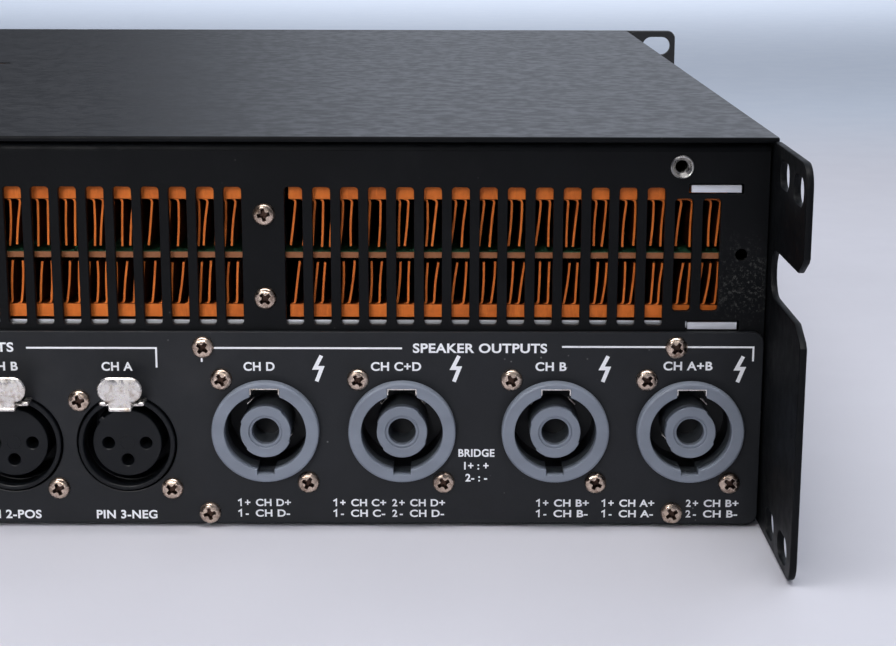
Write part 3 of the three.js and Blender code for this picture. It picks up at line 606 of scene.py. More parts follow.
def varnished(name, colour, spacing):
    """Wound wire under varnish: fine parallel turns."""
    finish = Finish(name, colour, 0.35, 0.2)
    turns = finish.noise(spacing, 2, 0.5, (0.05, 0.05, 1))
    finish.paint(finish.blend(finish.remap(turns, 0.4, 0.6), shade(colour, 0.6), shade(colour, 1.3)))
    finish.roughen(turns, 0.25, 0.5)
    finish.emboss((turns, 0.2))
    return finish.material


CASE = powder_coat("case_powder_coat", (0.0035, 0.0040, 0.0050), 0.48, 0.035, 0.12, 0.15)
REAR_CASE = powder_coat("rear_panel_coat", (0.0035, 0.0040, 0.0050), 0.48, 0.035, 0.12, 0.15, DUST_PATCH)
COVER = powder_coat("cover_powder_coat", (0.009, 0.0095, 0.012), 0.42, 0.030, 0.5, 0.2)
FACE = powder_coat("front_powder_coat", (0.012, 0.0125, 0.014), 0.42, 0.03)
PLATE_COAT = powder_coat("connector_plate_coat", (0.0075, 0.0088, 0.0115), 0.46, 0.03, 0.33, 0.25)
HANDLE_COAT = powder_coat("handle_coat", (0.014, 0.014, 0.015), 0.34, 0.02)
GREY = moulding("socket_grey", (0.205, 0.232, 0.285), 0.46)
# A darker copy of the socket grey: painted shade on the collar and stem just behind the socket's face.
GREY_PAINTED_SHADE = moulding("socket_grey_painted_shade", (0.075, 0.085, 0.100), 0.55)
DARK = moulding("socket_black", (0.006, 0.007, 0.009), 0.36, specular=0.22)
# Near-black painted shadow for the sockets' deep insides: sleeves, tubes, floors and pin-hole walls.
SHADOW = moulding("socket_painted_shadow", (0.004, 0.005, 0.008), 0.5)
FASCIA_COAT = moulding("fascia_black", (0.012, 0.012, 0.014), 0.5, 0.03, 1400.0)
KNOB = moulding("knob_black", (0.014, 0.014, 0.016), 0.55, 0.03, 1600.0)
WHITE = moulding("lever_white", (0.62, 0.62, 0.58), 0.45)
FAN = moulding("fan_black", (0.012, 0.012, 0.013), 0.4)
NICKEL = plated("nickel", (0.78, 0.74, 0.70), 0.24, (0.42, 0.34, 0.27))
SCREW = plated("screw_nickel", (0.62, 0.49, 0.40), 0.24, (0.16, 0.10, 0.07), 0.02)
RIVET_STEEL = plated("rivet_steel", (0.50, 0.49, 0.48), 0.3, (0.20, 0.18, 0.16), 0.02)
# The driver recesses are painted dark brown: painted shade in the recess.
RECESS_PAINTED_SHADE = plated("screw_recess_painted_shade", (0.075, 0.045, 0.035), 0.45, (0.02, 0.013, 0.012))
BLACK_SCREW = plated("black_screw", (0.03, 0.03, 0.035), 0.4, (0.015, 0.015, 0.02))
COPPER = rolled_copper("copper", (0.92, 0.225, 0.036), (0.66, 0.15, 0.024), 0.15)
# A dark copy of the copper: painted shade on the fins' sides and the bases' walls.
COPPER_PAINTED_SHADE = rolled_copper("copper_painted_shade", (0.20, 0.055, 0.015), (0.09, 0.025, 0.008), 0.9)
ALUMINIUM = rolled_aluminium("aluminium")
GREEN_BOARD = circuit_board("circuit_board")
INK = ink("white_ink", (0.95, 0.96, 1.0))
FOAM = foam("filter_foam")
GREEN_LENS = lens("green_lens", (0.02, 0.20, 0.05))
AMBER_LENS = lens("amber_lens", (0.40, 0.16, 0.02))
RED_LENS = lens("red_lens", (0.35, 0.02, 0.015))
WINDING = varnished("winding", (0.30, 0.12, 0.04), 900)
SLEEVE = moulding("capacitor_sleeve", (0.015, 0.016, 0.022), 0.3)


# ---- pieces ------------------------------------------------------------------------------------

def piece(name, shape, finishes, body="chassis", stands_for=()):
    """Makes a mesh object of a shape in the row frame, and fixes it to a CAD body."""
    mesh = bpy.data.meshes.new(name)
    mesh.from_pydata([v * MM for v in shape.vertices], [], shape.faces)
    for finish in finishes:
        mesh.materials.append(finish)
    mesh.polygons.foreach_set("material_index", shape.finishes)
    mesh.validate()
    mesh.set_sharp_from_angle(angle=math.radians(33))
    smooth = [number not in shape.flat for number in range(len(shape.faces))]
    mesh.polygons.foreach_set("use_smooth", smooth)
    made = bpy.data.objects.new(name, mesh)
    bpy.context.scene.collection.objects.link(made)
    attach(made, body)
    if stands_for:
        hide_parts(*stands_for)
    return made


def stand_in(node, shape, finishes, body="chassis", ending="looks"):
    """A piece that takes the place of one CAD node."""
    return piece(f"{node}_{ending}", shape, finishes, body, [node])


def cross_outline(half, length):
    """A four-armed driver recess as polar samples: (direction, radius)."""
    corner = math.degrees(math.atan2(half, length))
    steps = (-corner, -corner * 0.4, corner * 0.4, corner, 30, 37, 45, 53, 60)
    samples = []
    for arm in range(4):
        for step in steps:
            off = abs(step) if step <= 45 else 90 - step
            if off <= corner:
                radius = length
            else:
                radius = max(half / math.sin(math.radians(off)), half * 1.75)
            samples.append((math.radians(90 * arm + step), min(radius, length)))
    return samples


def screw_head(radius=2.45, rise=1.3, brim=0.3, recess=1.05):
    """A pan head with a driver recess, standing on c = 0; the recess has finish 1, painted shade."""
    samples = cross_outline(0.44, 1.42)
    shape = Shape()

    def level(share, height):
        points = []
        for turn, inner in samples:
            reach = inner + (radius - inner) * share
            points.append((reach * math.cos(turn), reach * math.sin(turn), height))
        return shape.ring(points)

    def dome(share):
        return brim + (rise - brim) * math.sqrt(max(0.0, 1 - share ** 2.6))

    bottom = level(1, 0)
    rings = [bottom, level(1, brim)] + [level(s, dome(s)) for s in (0.96, 0.87, 0.7, 0.45, 0.2, 0.0)]
    for lower, upper in zip(rings, rings[1:]):
        shape.bridge(lower, upper)
    deep = [(0.62 * r * math.cos(t), 0.62 * r * math.sin(t), rise - recess) for t, r in samples]
    floor = shape.ring(deep)
    shape.bridge(rings[-1], floor, 1)
    shape.cap([floor], True, 1)
    shape.cap([bottom], False)
    return shape


HEAD = screw_head()


def screws(name, spots, place, c, finish=SCREW, head=HEAD):
    """A group of equal screws, each turned its own way."""
    rng = random.Random(name)
    group = Shape()
    for a, b in spots:
        group.add(head.moved(a, b, c, rng.uniform(0, math.pi / 2)))
    return piece(name, group.placed(place), [finish, RECESS_PAINTED_SHADE])


def both_sides(spots):
    return [(side * a, b) for side in (1, -1) for a, b in spots]


# ---- case --------------------------------------------------------------------------------------

def side_outline():
    """The side plate's outline as (y, z): a wall, and a rear support with a wide notch."""
    rear = REAR_Y + 39
    upper = rear - 0.6
    front = FRONT_Y + GAP
    step = REAR_Y + SHEET + GAP
    points = [(front, 0)]
    points += arc(rear - 4, 4, 4, -90, 0, 5)
    points += [(rear, 50.2), (rear - 1.2, 51.4), (rear - 7.2, 53.9)]
    points += arc(REAR_Y + 8, 59.2, 5.2, 270, 90, 10)
    points += [(rear - 6.2, 64.5), (rear - 1.4, 67.3), (upper, 68.3)]
    points += arc(upper - 5, 82.2, 5, 0, 90, 6)
    points += [(step, 87.2), (step, PANEL_TOP), (front, PANEL_TOP)]
    return points


def side_plates():
    half, radius = SIDE_SLOTS["half"], SIDE_SLOTS["radius"]
    slots = [centred(half, radius, radius - 0.01, REAR_Y + back, z, 8) for back, z in SIDE_SLOTS["spots"]]
    for name, low in (("left", -HALF_BODY), ("right", INNER_HALF)):
        shape = plate(side_outline(), slots, low, low + SHEET, 0.3, lip=0.12)
        stand_in(f"side_plate_{name}", shape.placed(SIDE), [CASE], ending="skin")


def top_cover():
    edge = HALF_BODY - GAP
    outline = rounded_rectangle(-edge, edge, FRONT_Y - GAP, REAR_Y + SHEET, 0.8, 3)
    low = HEIGHT - COVER_SHEET
    spots, radius = COVER_SCREWS["spots"], COVER_SCREWS["seat"]
    holes = [circle(COVER_SCREWS["hole"], x, y, 24) for x, y in spots]
    # Only the top face takes the cover coat; the rim and underside take the darker case coat, painted
    # shade on the rim.
    shape = plate(outline, holes, low, HEIGHT, 0.35, 1, top=0)
    seat = turned([(0, low), (radius, low), (radius - 0.15, low + 0.5), (0, low + 0.5)])
    seats = together(*(seat.moved(x, y) for x, y in spots))
    stand_in("top_cover", together(shape, seats), [COVER, CASE], ending="skin")


def vent_holes():
    def vent(r, low, high):
        half = VENT["half"]
        return rounded_rectangle(r - half, r + half, low, high, VENT["corner"], 3)

    holes = []
    for block_of_vents in VENT_BLOCKS:
        full = block_of_vents["count"] - block_of_vents["short"]
        for i in range(block_of_vents["count"]):
            size = VENT if i < full else SHORT_VENT
            r = block_of_vents["first"] + i * block_of_vents["pitch"]
            holes += [vent(side * r, size["low"], size["high"]) for side in (1, -1)]
    return holes


def rear_vent_panel():
    half = INNER_HALF - GAP
    bend, reach = FOLD["bend"], FOLD["reach"]
    holes = vent_holes()
    play = TAB["play"]
    for side in (1, -1):
        for low, high in (TAB["bottom"], TAB["top"]):
            a0, a1 = span(side, TAB["inner"] - play, TAB["outer"] + play)
            holes.append(rounded_rectangle(a0, a1, low - GAP, high + GAP, 0.3, 2))
        holes.append(circle(RIVET["radius"] - 0.2, side * RIVET["r"], RIVET["z"], 32))
        holes.append(circle(DUST_HOLE["radius"], side * DUST_HOLE["r"], DUST_HOLE["z"], 24))
    edge = half - WINDOW["margin"]
    holes.append(rounded_rectangle(-edge, edge, WINDOW["low"], WINDOW["high"], 1, 3))
    outline = rounded_rectangle(-half, half, SHEET + GAP, PANEL_TOP - bend, 0.1, 2)
    sheet = plate(outline, holes, -SHEET, 0, 0.18).placed(REAR)
    inner = bend - COVER_SHEET
    section = [(-0.02, PANEL_TOP - bend)]
    section += arc(-bend, PANEL_TOP - bend, bend, 0, 90, 8)
    section += [(-reach, PANEL_TOP), (-reach, PANEL_TOP - COVER_SHEET)]
    section += arc(-bend, PANEL_TOP - bend, inner, 90, 0, 5)
    section = [(REAR_Y + y, z) for y, z in section]
    fold = plate(section, [], -half, half, 0.02).placed(SIDE)
    stand_in("rear_vent_panel", together(sheet, fold), [REAR_CASE], ending="skin")


def rivet_nuts():
    radius, bore = RIVET["radius"], RIVET["bore"]
    nut = turned([(bore, -6), (radius - 0.3, -6), (radius - 0.3, -0.1), (radius, -0.1), (radius, 0.4),
                  (radius - 0.2, 0.6), (radius - 0.4, 0.55), (bore + 0.25, 0.2), (bore, -0.1)], 48, True)
    thread = together(*(turned([(bore - 0.15, c), (bore + 0.1, c - 0.2), (bore + 0.1, c + 0.2)], 32, True)
                        for c in (-0.4, -1.0, -1.6, -2.2, -2.8)))
    whole = Shape()
    for side in (1, -1):
        whole.add(together(nut, thread).moved(side * RIVET["r"], RIVET["z"]))
    piece("rivet_nuts", whole.placed(REAR), [RIVET_STEEL])


def connector_plate():
    outline = rounded_rectangle(-PLATE_HALF, PLATE_HALF, PLATE["low"], PLATE["high"], PLATE["corner"])
    holes = [shifted(flattened(circle(11.55, count=64), OVAL), r, SPEAKER_Z) for r in SPEAKERS]
    holes += [circle(11.2, r, INPUT_Z, 64) for r in INPUTS]
    holes.append(centred(16.5, 12.5, 1, MAINS["x"], MAINS["z"]))
    holes.append(centred(8.8, 4.5, 0.4, DIP["x"], DIP["z"], 2))
    shape = plate(outline, holes, PLATE["back"], PLATE["face"], 0.22)
    stand_in("connector_plate", shape.placed(REAR), [PLATE_COAT], ending="skin")


# ---- connectors --------------------------------------------------------------------------------

def stepped_core(radius, step, count=96):
    """The core's outline: two opposite stretches stand proud of the other two by a small step."""
    raised = ((50, 159), (225, 337))
    points = []
    for i in range(count):
        turn = 360 * i / count
        proud = any(low <= turn <= high for low, high in raised)
        reach = radius if proud else radius - step
        points.append((reach * math.cos(math.radians(turn)), reach * math.sin(math.radians(turn))))
    return points


def speaker_socket():
    """Ring, groove and core of one loudspeaker socket; finishes: face, painted shade behind the face,
    deeper painted shadow, liner.
    """
    keyed = flattened(keyed_circle(9.1, ((90, 3.3, 10.5), (270, 1.95, 10.1))), OVAL)
    seat = PLATE["face"] + 0.02
    mouth = plate(flattened(circle(11.95, count=96), OVAL), [keyed], seat, 4.5, 0.5, lip=0.15)
    collar = plate(flattened(circle(11.3, count=72), OVAL), [keyed], -2.5, seat + 0.05, 0.02, 1)
    sleeve = plate(flattened(circle(11.2, count=72), OVAL), [keyed], -9.5, -2.45, 0.05, 2)
    floor = plate(circle(10.7, count=48), [], -11, -9.4, 0.1, 2)
    core = plate(stepped_core(5.9, 0.28), [circle(3.7, count=48)], 1.2, 3.7, 0.2)
    lip = plate(circle(3.75, count=48), [circle(3.05, count=48)], 1.2, 3.25, 0.22)
    stem = plate(circle(5.6, count=48), [circle(3.0, count=48)], -9.5, 1.25, 0.05, 1)
    pit = plate(circle(3.05, count=32), [], -9, -6, 0.05, 2)
    return together(mouth, collar, sleeve, floor, core, lip, stem, pit, key_liner(), contacts())


def key_liner():
    """A bent metal strip that lines the wide upper key."""
    half, reach, foot, sheet = 3.27, 10.08, 8.6, 0.25
    section = [(-half, foot), (-half, reach), (half, reach), (half, foot),
               (half - sheet, foot), (half - sheet, reach - sheet),
               (sheet - half, reach - sheet), (sheet - half, foot)]
    return plate(section[::-1], [], -6, 4.15, 0.03, 3)


def contacts():
    strips = (block(-1.1, 1.1, 5.95, 6.2, -9.3, -7.0, 0.1, 0.05, 3).moved(turn=math.radians(turn))
              for turn in (45, 135, 225, 315))
    return together(*strips)


def speaker_sockets():
    shape = speaker_socket()
    finishes = [GREY, GREY_PAINTED_SHADE, SHADOW, NICKEL]
    for number, r in enumerate(SPEAKERS, 1):
        stand_in(f"speaker_socket_{number}", shape.moved(r, SPEAKER_Z).placed(REAR), finishes)


def input_shell():
    """The C-shaped ring of an input socket, open at the top for the latch."""
    gap_half, radius, bore = 3.4, 10.8, 9.75
    opening = math.degrees(math.asin(gap_half / radius))
    outer = arc(0, 0, radius, 90 + opening, 450 - opening, 72)
    inner_opening = math.degrees(math.asin(gap_half / bore))
    inner = arc(0, 0, bore, 450 - inner_opening, 90 + inner_opening, 64)
    collar = plate(outer + inner, [], -3, 2.1, 0.3)
    tube = plate(circle(radius - 0.2, count=64), [circle(bore, count=64)], -14.5, -3, 0.1, 1)
    floor = plate(circle(10.5, count=48), [], -15.5, -14.4, 0.1, 1)
    return together(collar, tube, floor)


def input_insert():
    key = keyed_circle(7.7, ((90, 1.35, 8.7), (136, 0.7, 8.2)))
    holes = [circle(1.35, a, b, 28) for a, b in ((4.2, 0), (-4.2, 0), (0, -3.9))]
    body = plate(key, holes, -13, 1.1, 0.28, 0, 1)
    back = plate(circle(7.2, count=40), [], -14, -12.9, 0.1, 1)
    mark = plate(circle(1.7, count=32), [circle(1.45, count=32)], 1.05, 1.17, 0.03)
    return together(body, back, mark)


def input_latch():
    """An oval thumb tab, slightly domed, on a neck with two wings and a short arm."""
    tab = domed(rounded_rectangle(-4.9, 4.9, 30.4, 36.05, 2.7, 7), 8.1, 8.75, 0.22, 6, 0.25)
    neck = block(-2.5, 2.5, 28.5, 31.6, 8.1, 8.7, 0.3, 0.12)
    arm = block(-2.5, 2.5, 28.41, 29.21, 1.5, 8.8, 0.3, 0.2)
    wings = together(*(block(side * 4.2 - 0.75, side * 4.2 + 0.75, 29.1, 29.9, 2.3, 6.4, 0.3, 0.2)
                       for side in (1, -1)))
    yoke = block(-4.6, 4.6, 28.75, 29.3, 3.0, 5.4, 0.25, 0.15)
    return together(tab, neck, arm, wings, yoke)


def input_sockets():
    shell, insert, latch = input_shell(), input_insert(), input_latch()
    for number, r in enumerate(INPUTS, 1):
        for part, shape in (("shell", shell), ("insert", insert)):
            stand_in(f"xlr_{part}_{number}", shape.moved(r, INPUT_Z).placed(REAR), [DARK, SHADOW])
        stand_in(f"xlr_latch_{number}", latch.moved(r, 0).placed(REAR), [NICKEL], f"latch_{number}")


def mains_inlet():
    recess = centred(14.25, 10.25, 3.2)
    flange = plate(centred(25, 15.5, 4.5), [recess], 1.8, 4.3, 0.5, 0, 1)
    throat = plate(centred(16, 12, 3.5), [recess], -17, 1.85, 0.05, 1)
    floor = plate(centred(15.5, 11.5, 3.5), [], -18.5, -16.9, 0.1, 1)
    pins = together(*(block(a - 1, a + 1, b - 4, b + 4, -17, 1.6, 0.9, 0.5, 2)
                      for a, b in ((0, 5), (-7, -3.5), (7, -3.5))))
    shape = together(flange, throat, floor, pins).moved(MAINS["x"], MAINS["z"])
    stand_in("mains_inlet", shape.placed(REAR), [DARK, SHADOW, NICKEL])
    screws("mains_screws", [(MAINS["x"] + side * 20, MAINS["z"]) for side in (-1, 1)], REAR, 4.25)


def dip_positions():
    middle = (DIP["count"] - 1) / 2
    return [DIP["x"] + (middle - i) * DIP["pitch"] for i in range(DIP["count"])]


def dip_switches():
    spots = dip_positions()
    outline = centred(8.5, 4.2, 0.5, DIP["x"], DIP["z"], 3)
    slots = [centred(1.2, 2.3, 0.25, r, DIP["z"], 2) for r in spots]
    body = plate(outline, slots, -0.4, 2.5, 0.2, 0, 1)
    back = block(DIP["x"] - 8.3, DIP["x"] + 8.3, DIP["z"] - 4, DIP["z"] + 4, -5.8, -0.4, 0.4, 0.2, 1)
    stand_in("dip_switch_block", together(body, back).placed(REAR), [DARK, SHADOW])
    for number, r in enumerate(spots, 1):
        lever = domed(centred(0.85, 0.95, 0.3, r, DIP["z"] - 1, 3), -0.1, 3.3, 0.1, 3, 0.2)
        stand_in(f"dip_lever_{number}", lever.placed(REAR), [WHITE], f"dip_{number}")


# ---- cooling tunnel ----------------------------------------------------------------------------

def fin(r, low, high, lean, rng, upper):
    """One folded copper fin, a thin strip with a hooked foot; finish 1, painted shade, covers its sides
    and far end.
    """
    half = 0.29
    steps = 5
    hook = ((0.0, 0.9), (0.12, 0.45), (0.45, 0.12), (1.0, 0.0))
    wave = rng.uniform(-0.2, 0.2)
    stem = high - low - hook[0][1]
    spine = []
    for i in range(steps + 1):
        share = i / steps
        across = lean * (share if upper else share - 1) + wave * math.sin(math.pi * share)
        spine.append((r + across, low + stem * share if upper else high - stem * (1 - share)))
    if upper:
        spine += [(spine[-1][0] - back, high - drop) for back, drop in hook[1:]]
    else:
        spine = [(spine[0][0] - back, low + drop) for back, drop in reversed(hook[1:])] + spine
    right = []
    left = []
    for i, (a, b) in enumerate(spine):
        before, after = spine[max(i - 1, 0)], spine[min(i + 1, len(spine) - 1)]
        along = Vector((after[0] - before[0], after[1] - before[1])).normalized()
        right.append((a + along.y * half, b - along.x * half))
        left.append((a - along.y * half, b + along.x * half))
    near = SINK_DEPTH[1] - rng.uniform(0, 0.5)
    return plate(right + left[::-1], [], SINK_DEPTH[0], near, 0.07, 1, top=0)


def heatsink(number, reach, upper):
    rng = random.Random(f"{number}{upper}")
    low, high = UPPER_BASE if upper else LOWER_BASE
    # The base is painted shade copper, finish 1, on all but its near face, like the fins.
    shape = plate(rounded_rectangle(*reach, low, high, 0.3, 3), [], *SINK_DEPTH, 0.15, 1, top=0)
    pitch = 2.075
    margin = 1.3
    count = int((reach[1] - reach[0] - 2 * margin) / pitch) + 1
    first = (reach[0] + reach[1] - (count - 1) * pitch) / 2
    for i in range(count):
        r = first + i * pitch + rng.uniform(-0.2, 0.2)
        lean = rng.uniform(0.2, 1.2)
        if upper:
            shape.add(fin(r - lean, BOARD[1] + rng.uniform(1.4, 1.9), low + 0.2, lean, rng, True))
        else:
            shape.add(fin(r + lean / 2, high - 0.2, BOARD[0] - rng.uniform(0.3, 0.7), lean, rng, False))
    return shape


def heatsinks():
    for number, reach in enumerate(sorted(SINKS, reverse=True), 1):
        for level in ("upper", "lower"):
            shape = heatsink(number, reach, level == "upper").placed(REAR)
            stand_in(f"heatsink_{level}_{number}", shape, [COPPER, COPPER_PAINTED_SHADE], ending="fins")


# ---- lettering on the connector plate ----------------------------------------------------------

def zigzag(r, low, high):
    """A plain three-legged zigzag."""
    middle = (low + high) / 2
    return [(r + 0.65, high), (r - 0.75, middle + 0.15), (r + 0.75, middle + 0.15), (r - 0.45, low)]


def pole_mark(digit, r, z, c):
    """A contact's number; the one has a flag, which the font's lacks."""
    if digit != "1":
        return lettering(digit, 1.75, r, z, c)
    return stroke([(r - 0.55, z + 0.35), (r + 0.1, z + 0.75), (r + 0.1, z - 0.88)], 0.33, c - 0.01)


def connector_lettering():
    c = PLATE["face"] + 0.015
    line = 0.42
    cap = 2.05
    marks = Shape()
    for text, r, z, size, width in (
        ("SPEAKER OUTPUTS", 157.65, 41.15, 2.2, 29.7), ("CH D", 108.66, 36.9, cap, 6.9),
        ("CH C+D", 139.04, 36.95, cap, 11.15), ("CH B", 173.42, 37.0, cap, 6.9),
        ("CH A+B", 203.81, 37.2, cap, 10.9), ("BRIDGE", 157.0, 17.0, 1.85, 8.1),
        ("1+ : +", 157.0, 14.0, 1.85, 5.5), ("2- : -", 157.0, 11.2, 1.85, 4.9),
        ("CH A", 77.17, 36.85, cap, 6.9), ("CH B", 51.7, 36.85, cap, 6.9),
        ("CH C", 26.2, 36.85, cap, 6.9), ("CH D", 0.7, 36.85, cap, 6.9),
        ("PIN 3-NEG", 78.15, 2.4, cap, 13.7), ("PIN 2-POS", 52.0, 2.4, cap, 13.7),
        ("PIN 1-GND", 26.0, 2.4, cap, 13.7), ("INPUTS", 48.6, 41.2, 2.2, 11.6),
    ):
        marks.add(lettering(text, size, r, z, c, width))
    pairs = ((109.25, "1", "D"), (130.75, "1", "C"), (144.05, "2", "D"),
             (176.5, "1", "B"), (191.25, "1", "A"), (210.3, "2", "B"))
    for r, pole, channel in pairs:
        for z, sign, shift in ((5.25, "+", 0.0), (2.75, "-", -0.15)):
            marks.add(pole_mark(pole, r - 5.4, z, c))
            marks.add(lettering(sign, 1.75, r - 3.8 + shift, z, c))
            marks.add(lettering(f"CH {channel}{sign}", 1.75, r + 2.0 + shift, z, c, 7.9 + shift))
    for bracket in (((57.2, 41.05), (85.95, 41.05), (85.95, 36.6)),
                    ((37.0, 41.05), (-8.0, 41.05), (-8.0, 36.6)),
                    ((96.0, 37.9), (96.0, 41.1), (140.4, 41.1)),
                    ((175.8, 41.5), (218.17, 41.5), (218.17, 38.3))):
        marks.add(stroke(bracket, line, c - 0.01))
    for r in (121.85, 152.35, 185.41, 215.35):
        marks.add(stroke(zigzag(r, 33.5, 39.4), 0.85, c - 0.01))
    for number, r in enumerate(dip_positions(), 1):
        marks.add(lettering(str(number), 1.7, r, DIP["z"] - 6.5, c))
    marks.add(lettering("MODE", cap, DIP["x"], DIP["z"] + 7, c))
    marks.add(lettering("MAINS INPUT", 2.25, MAINS["x"], 41.2, c))
    piece("plate_lettering", marks.placed(REAR), [INK])


def rear_screws():
    plate_spots = both_sides([(96.3, 41.3), (201.1, 41.4), (97.0, 2.9), (201.1, 3.0)])
    screws("plate_screws", plate_spots, REAR, PLATE["face"])
    speaker_spots = [(r + a, SPEAKER_Z + b) for r in SPEAKERS for a, b in ((-9.8, 11.55), (9.3, -12.25))]
    screws("speaker_screws", speaker_spots, REAR, PLATE["face"])
    input_spots = [(r + a, INPUT_Z + b) for r in INPUTS for a, b in ((-10.3, 9.95), (9.9, -10.45))]
    screws("input_screws", input_spots, REAR, PLATE["face"])
    screws("post_screws", both_sides([(POST_X, 70.8), (POST_X, 52.1)]), REAR, 0.0)


# ---- front -------------------------------------------------------------------------------------

def rack_slots(side):
    x, half, radius = side * RACK_SLOTS["x"], RACK_SLOTS["half"], RACK_SLOTS["radius"]
    return [centred(half, radius, radius - 0.01, x, z, 8) for z in RACK_SLOTS["zs"]]


def front_panel():
    outline = rounded_rectangle(-HALF_RACK, HALF_RACK, 0, HEIGHT, 3)
    holes = []
    for side in (-1, 1):
        holes += rack_slots(side)
        holes.append(rounded_rectangle(*span(side, GRILLE["inner"], GRILLE["outer"]),
                                       GRILLE["low"], GRILLE["high"], 5))
    holes.append(rounded_rectangle(-66, 66, 14, 74, 3))
    shape = plate(outline, holes, PANEL_FRONT - 2.4, PANEL_FRONT, 0.5)
    for side in (-1, 1):
        across = span(side, EAR["inner"], EAR["outer"])
        ear = rounded_rectangle(*across, EAR["low"], EAR["high"], EAR["corner"])
        shape.add(plate(ear, rack_slots(side), PANEL_FRONT - 3, PANEL_FRONT - 2.3, 0.2))
    stand_in("front_panel", shape.placed(FRONT), [FACE], ending="skin")


def perforations():
    pitch = 4.4
    row = pitch * math.sqrt(3) / 2
    low, high = GRILLE["low"] + 3.5, GRILLE["high"] - 3.5
    rows = int((high - low) / row) + 1
    holes = []
    for j in range(rows):
        start = GRILLE["inner"] + 4 + (pitch / 2 if j % 2 else 0)
        count = int((GRILLE["outer"] - 4 - start) / pitch) + 1
        holes += [circle(1.75, start + i * pitch, low + j * row, 6) for i in range(count)]
    return holes


def front_intakes():
    lap = GRILLE["lap"]
    outline = rounded_rectangle(GRILLE["inner"] - lap, GRILLE["outer"] + lap, 8, 80, 1, 2)
    grille = plate(outline, perforations(), 170.1, 171.3, 0.15)
    mirror = Matrix.Scale(-1, 4, Vector((1, 0, 0)))
    for name, flip in (("right", False), ("left", True)):
        shape = grille.mirrored(mirror) if flip else grille
        stand_in(f"front_grille_{name}", shape.placed(FRONT), [FACE], ending="skin")
        filter_pad(name, -1 if flip else 1)


def filter_pad(name, side):
    """Open-cell foam behind a grille: a pad with a rough face and a lowered rim."""
    rng = random.Random(name)
    a0, a1 = span(side, GRILLE["inner"] - 3.6, GRILLE["outer"] + 3.6)
    b0, b1 = 8.4, 79.6
    columns, rows = 60, 36
    shape = Shape()
    back = []
    face = []
    for j in range(rows + 1):
        a_line = [a0 + (a1 - a0) * i / columns for i in range(columns + 1)]
        b = b0 + (b1 - b0) * j / rows
        back.append(shape.ring([(a, b, 162) for a in a_line]))
        edge = [min(i, columns - i, j, rows - j) for i in range(columns + 1)]
        lift = [169.6 - (0.6 if e == 0 else 0.0) + rng.uniform(-0.22, 0.12) for e in edge]
        face.append(shape.ring([(a, b, c) for a, c in zip(a_line, lift)]))
    for j in range(rows):
        for i in range(columns):
            shape.face((face[j][i], face[j][i + 1], face[j + 1][i + 1], face[j + 1][i]))
            shape.face((back[j][i], back[j + 1][i], back[j + 1][i + 1], back[j][i + 1]))
    for i in range(columns):
        shape.face((back[0][i], back[0][i + 1], face[0][i + 1], face[0][i]))
        shape.face((back[rows][i + 1], back[rows][i], face[rows][i], face[rows][i + 1]))
    for j in range(rows):
        shape.face((back[j + 1][0], back[j][0], face[j][0], face[j + 1][0]))
        shape.face((back[j][columns], back[j + 1][columns], face[j + 1][columns], face[j][columns]))
    made = stand_in(f"filter_foam_{name}", shape.placed(FRONT), [FOAM], ending="pad")


def handles():
    """Bow handles: a rounded bar swept out of the panel, down, and back in."""
    half, reach = HANDLE["half"], HANDLE["reach"]
    root = PANEL_FRONT + GAP
    tip = PANEL_FRONT + reach - half
    low, high = HANDLE["low"] + half, HANDLE["high"] - half
    bend = 6.5
    path = [(Vector((root, low, 0)), Vector((0, -1, 0)))]
    for z, start in ((low + bend, -90), (high - bend, 0)):
        for t in range(0, 91, 10):
            turn = math.radians(start + t)
            out = Vector((math.cos(turn), math.sin(turn), 0))
            path.append((Vector((tip - bend, z, 0)) + out * bend, out))
    path.append((Vector((root, high, 0)), Vector((0, 1, 0))))
    bar = swept(centred(half, half, 2.0, steps=6), path)
    to_front = Matrix(((0, 0, 1, 0), (0, 1, 0, 0), (1, 0, 0, 0), (0, 0, 0, 1)))
    for name, side in (("left", -1), ("right", 1)):
        x = side * HANDLE["x"]
        shape = bar.mirrored(to_front).moved(x)
        for z in (low, high):
            shape.add(plate(centred(half, half, 2.2, x, z), [], root - 0.2, root + 1.0, 0.2))
        stand_in(f"handle_{name}", shape.placed(FRONT), [HANDLE_COAT], ending="bar")


def control_fascia():
    face = FASCIA["face"]
    half = FASCIA["half"]
    outline = rounded_rectangle(-half, half, FASCIA["low"], FASCIA["high"], FASCIA["corner"])
    holes = [circle(3.4, x, KNOB_Z, 24) for x in KNOBS]
    holes.append(centred(*ROCKER["opening"], 0.8, ROCKER["x"], ROCKER["z"], 3))
    holes += [circle(LAMPS["hole"], x + dx, LAMPS["z"], 20) for x in KNOBS for dx in LAMPS["shifts"]]
    shape = plate(outline, holes, PANEL_FRONT + GAP, face, 0.6)
    lamp_frame = rounded_rectangle(-68, 42, 53, 71, 2.5)
    inner_edge = rounded_rectangle(-67.4, 41.4, 53.6, 70.4, 2.2)
    shape.add(plate(lamp_frame, [inner_edge], face - 0.1, face + 0.25, 0.1))
    stand_in("control_fascia", shape.placed(FRONT), [FASCIA_COAT], ending="skin")
    lamps = Shape()
    for x in KNOBS:
        for finish, dx in enumerate(LAMPS["shifts"]):
            outline = circle(LAMPS["radius"], x + dx, LAMPS["z"], 20)
            lamps.add(domed(outline, face - 2, face + 0.1, 0.5, 4, 0.15, finish))
    piece("channel_lamps", lamps.placed(FRONT), [GREEN_LENS, AMBER_LENS, RED_LENS])


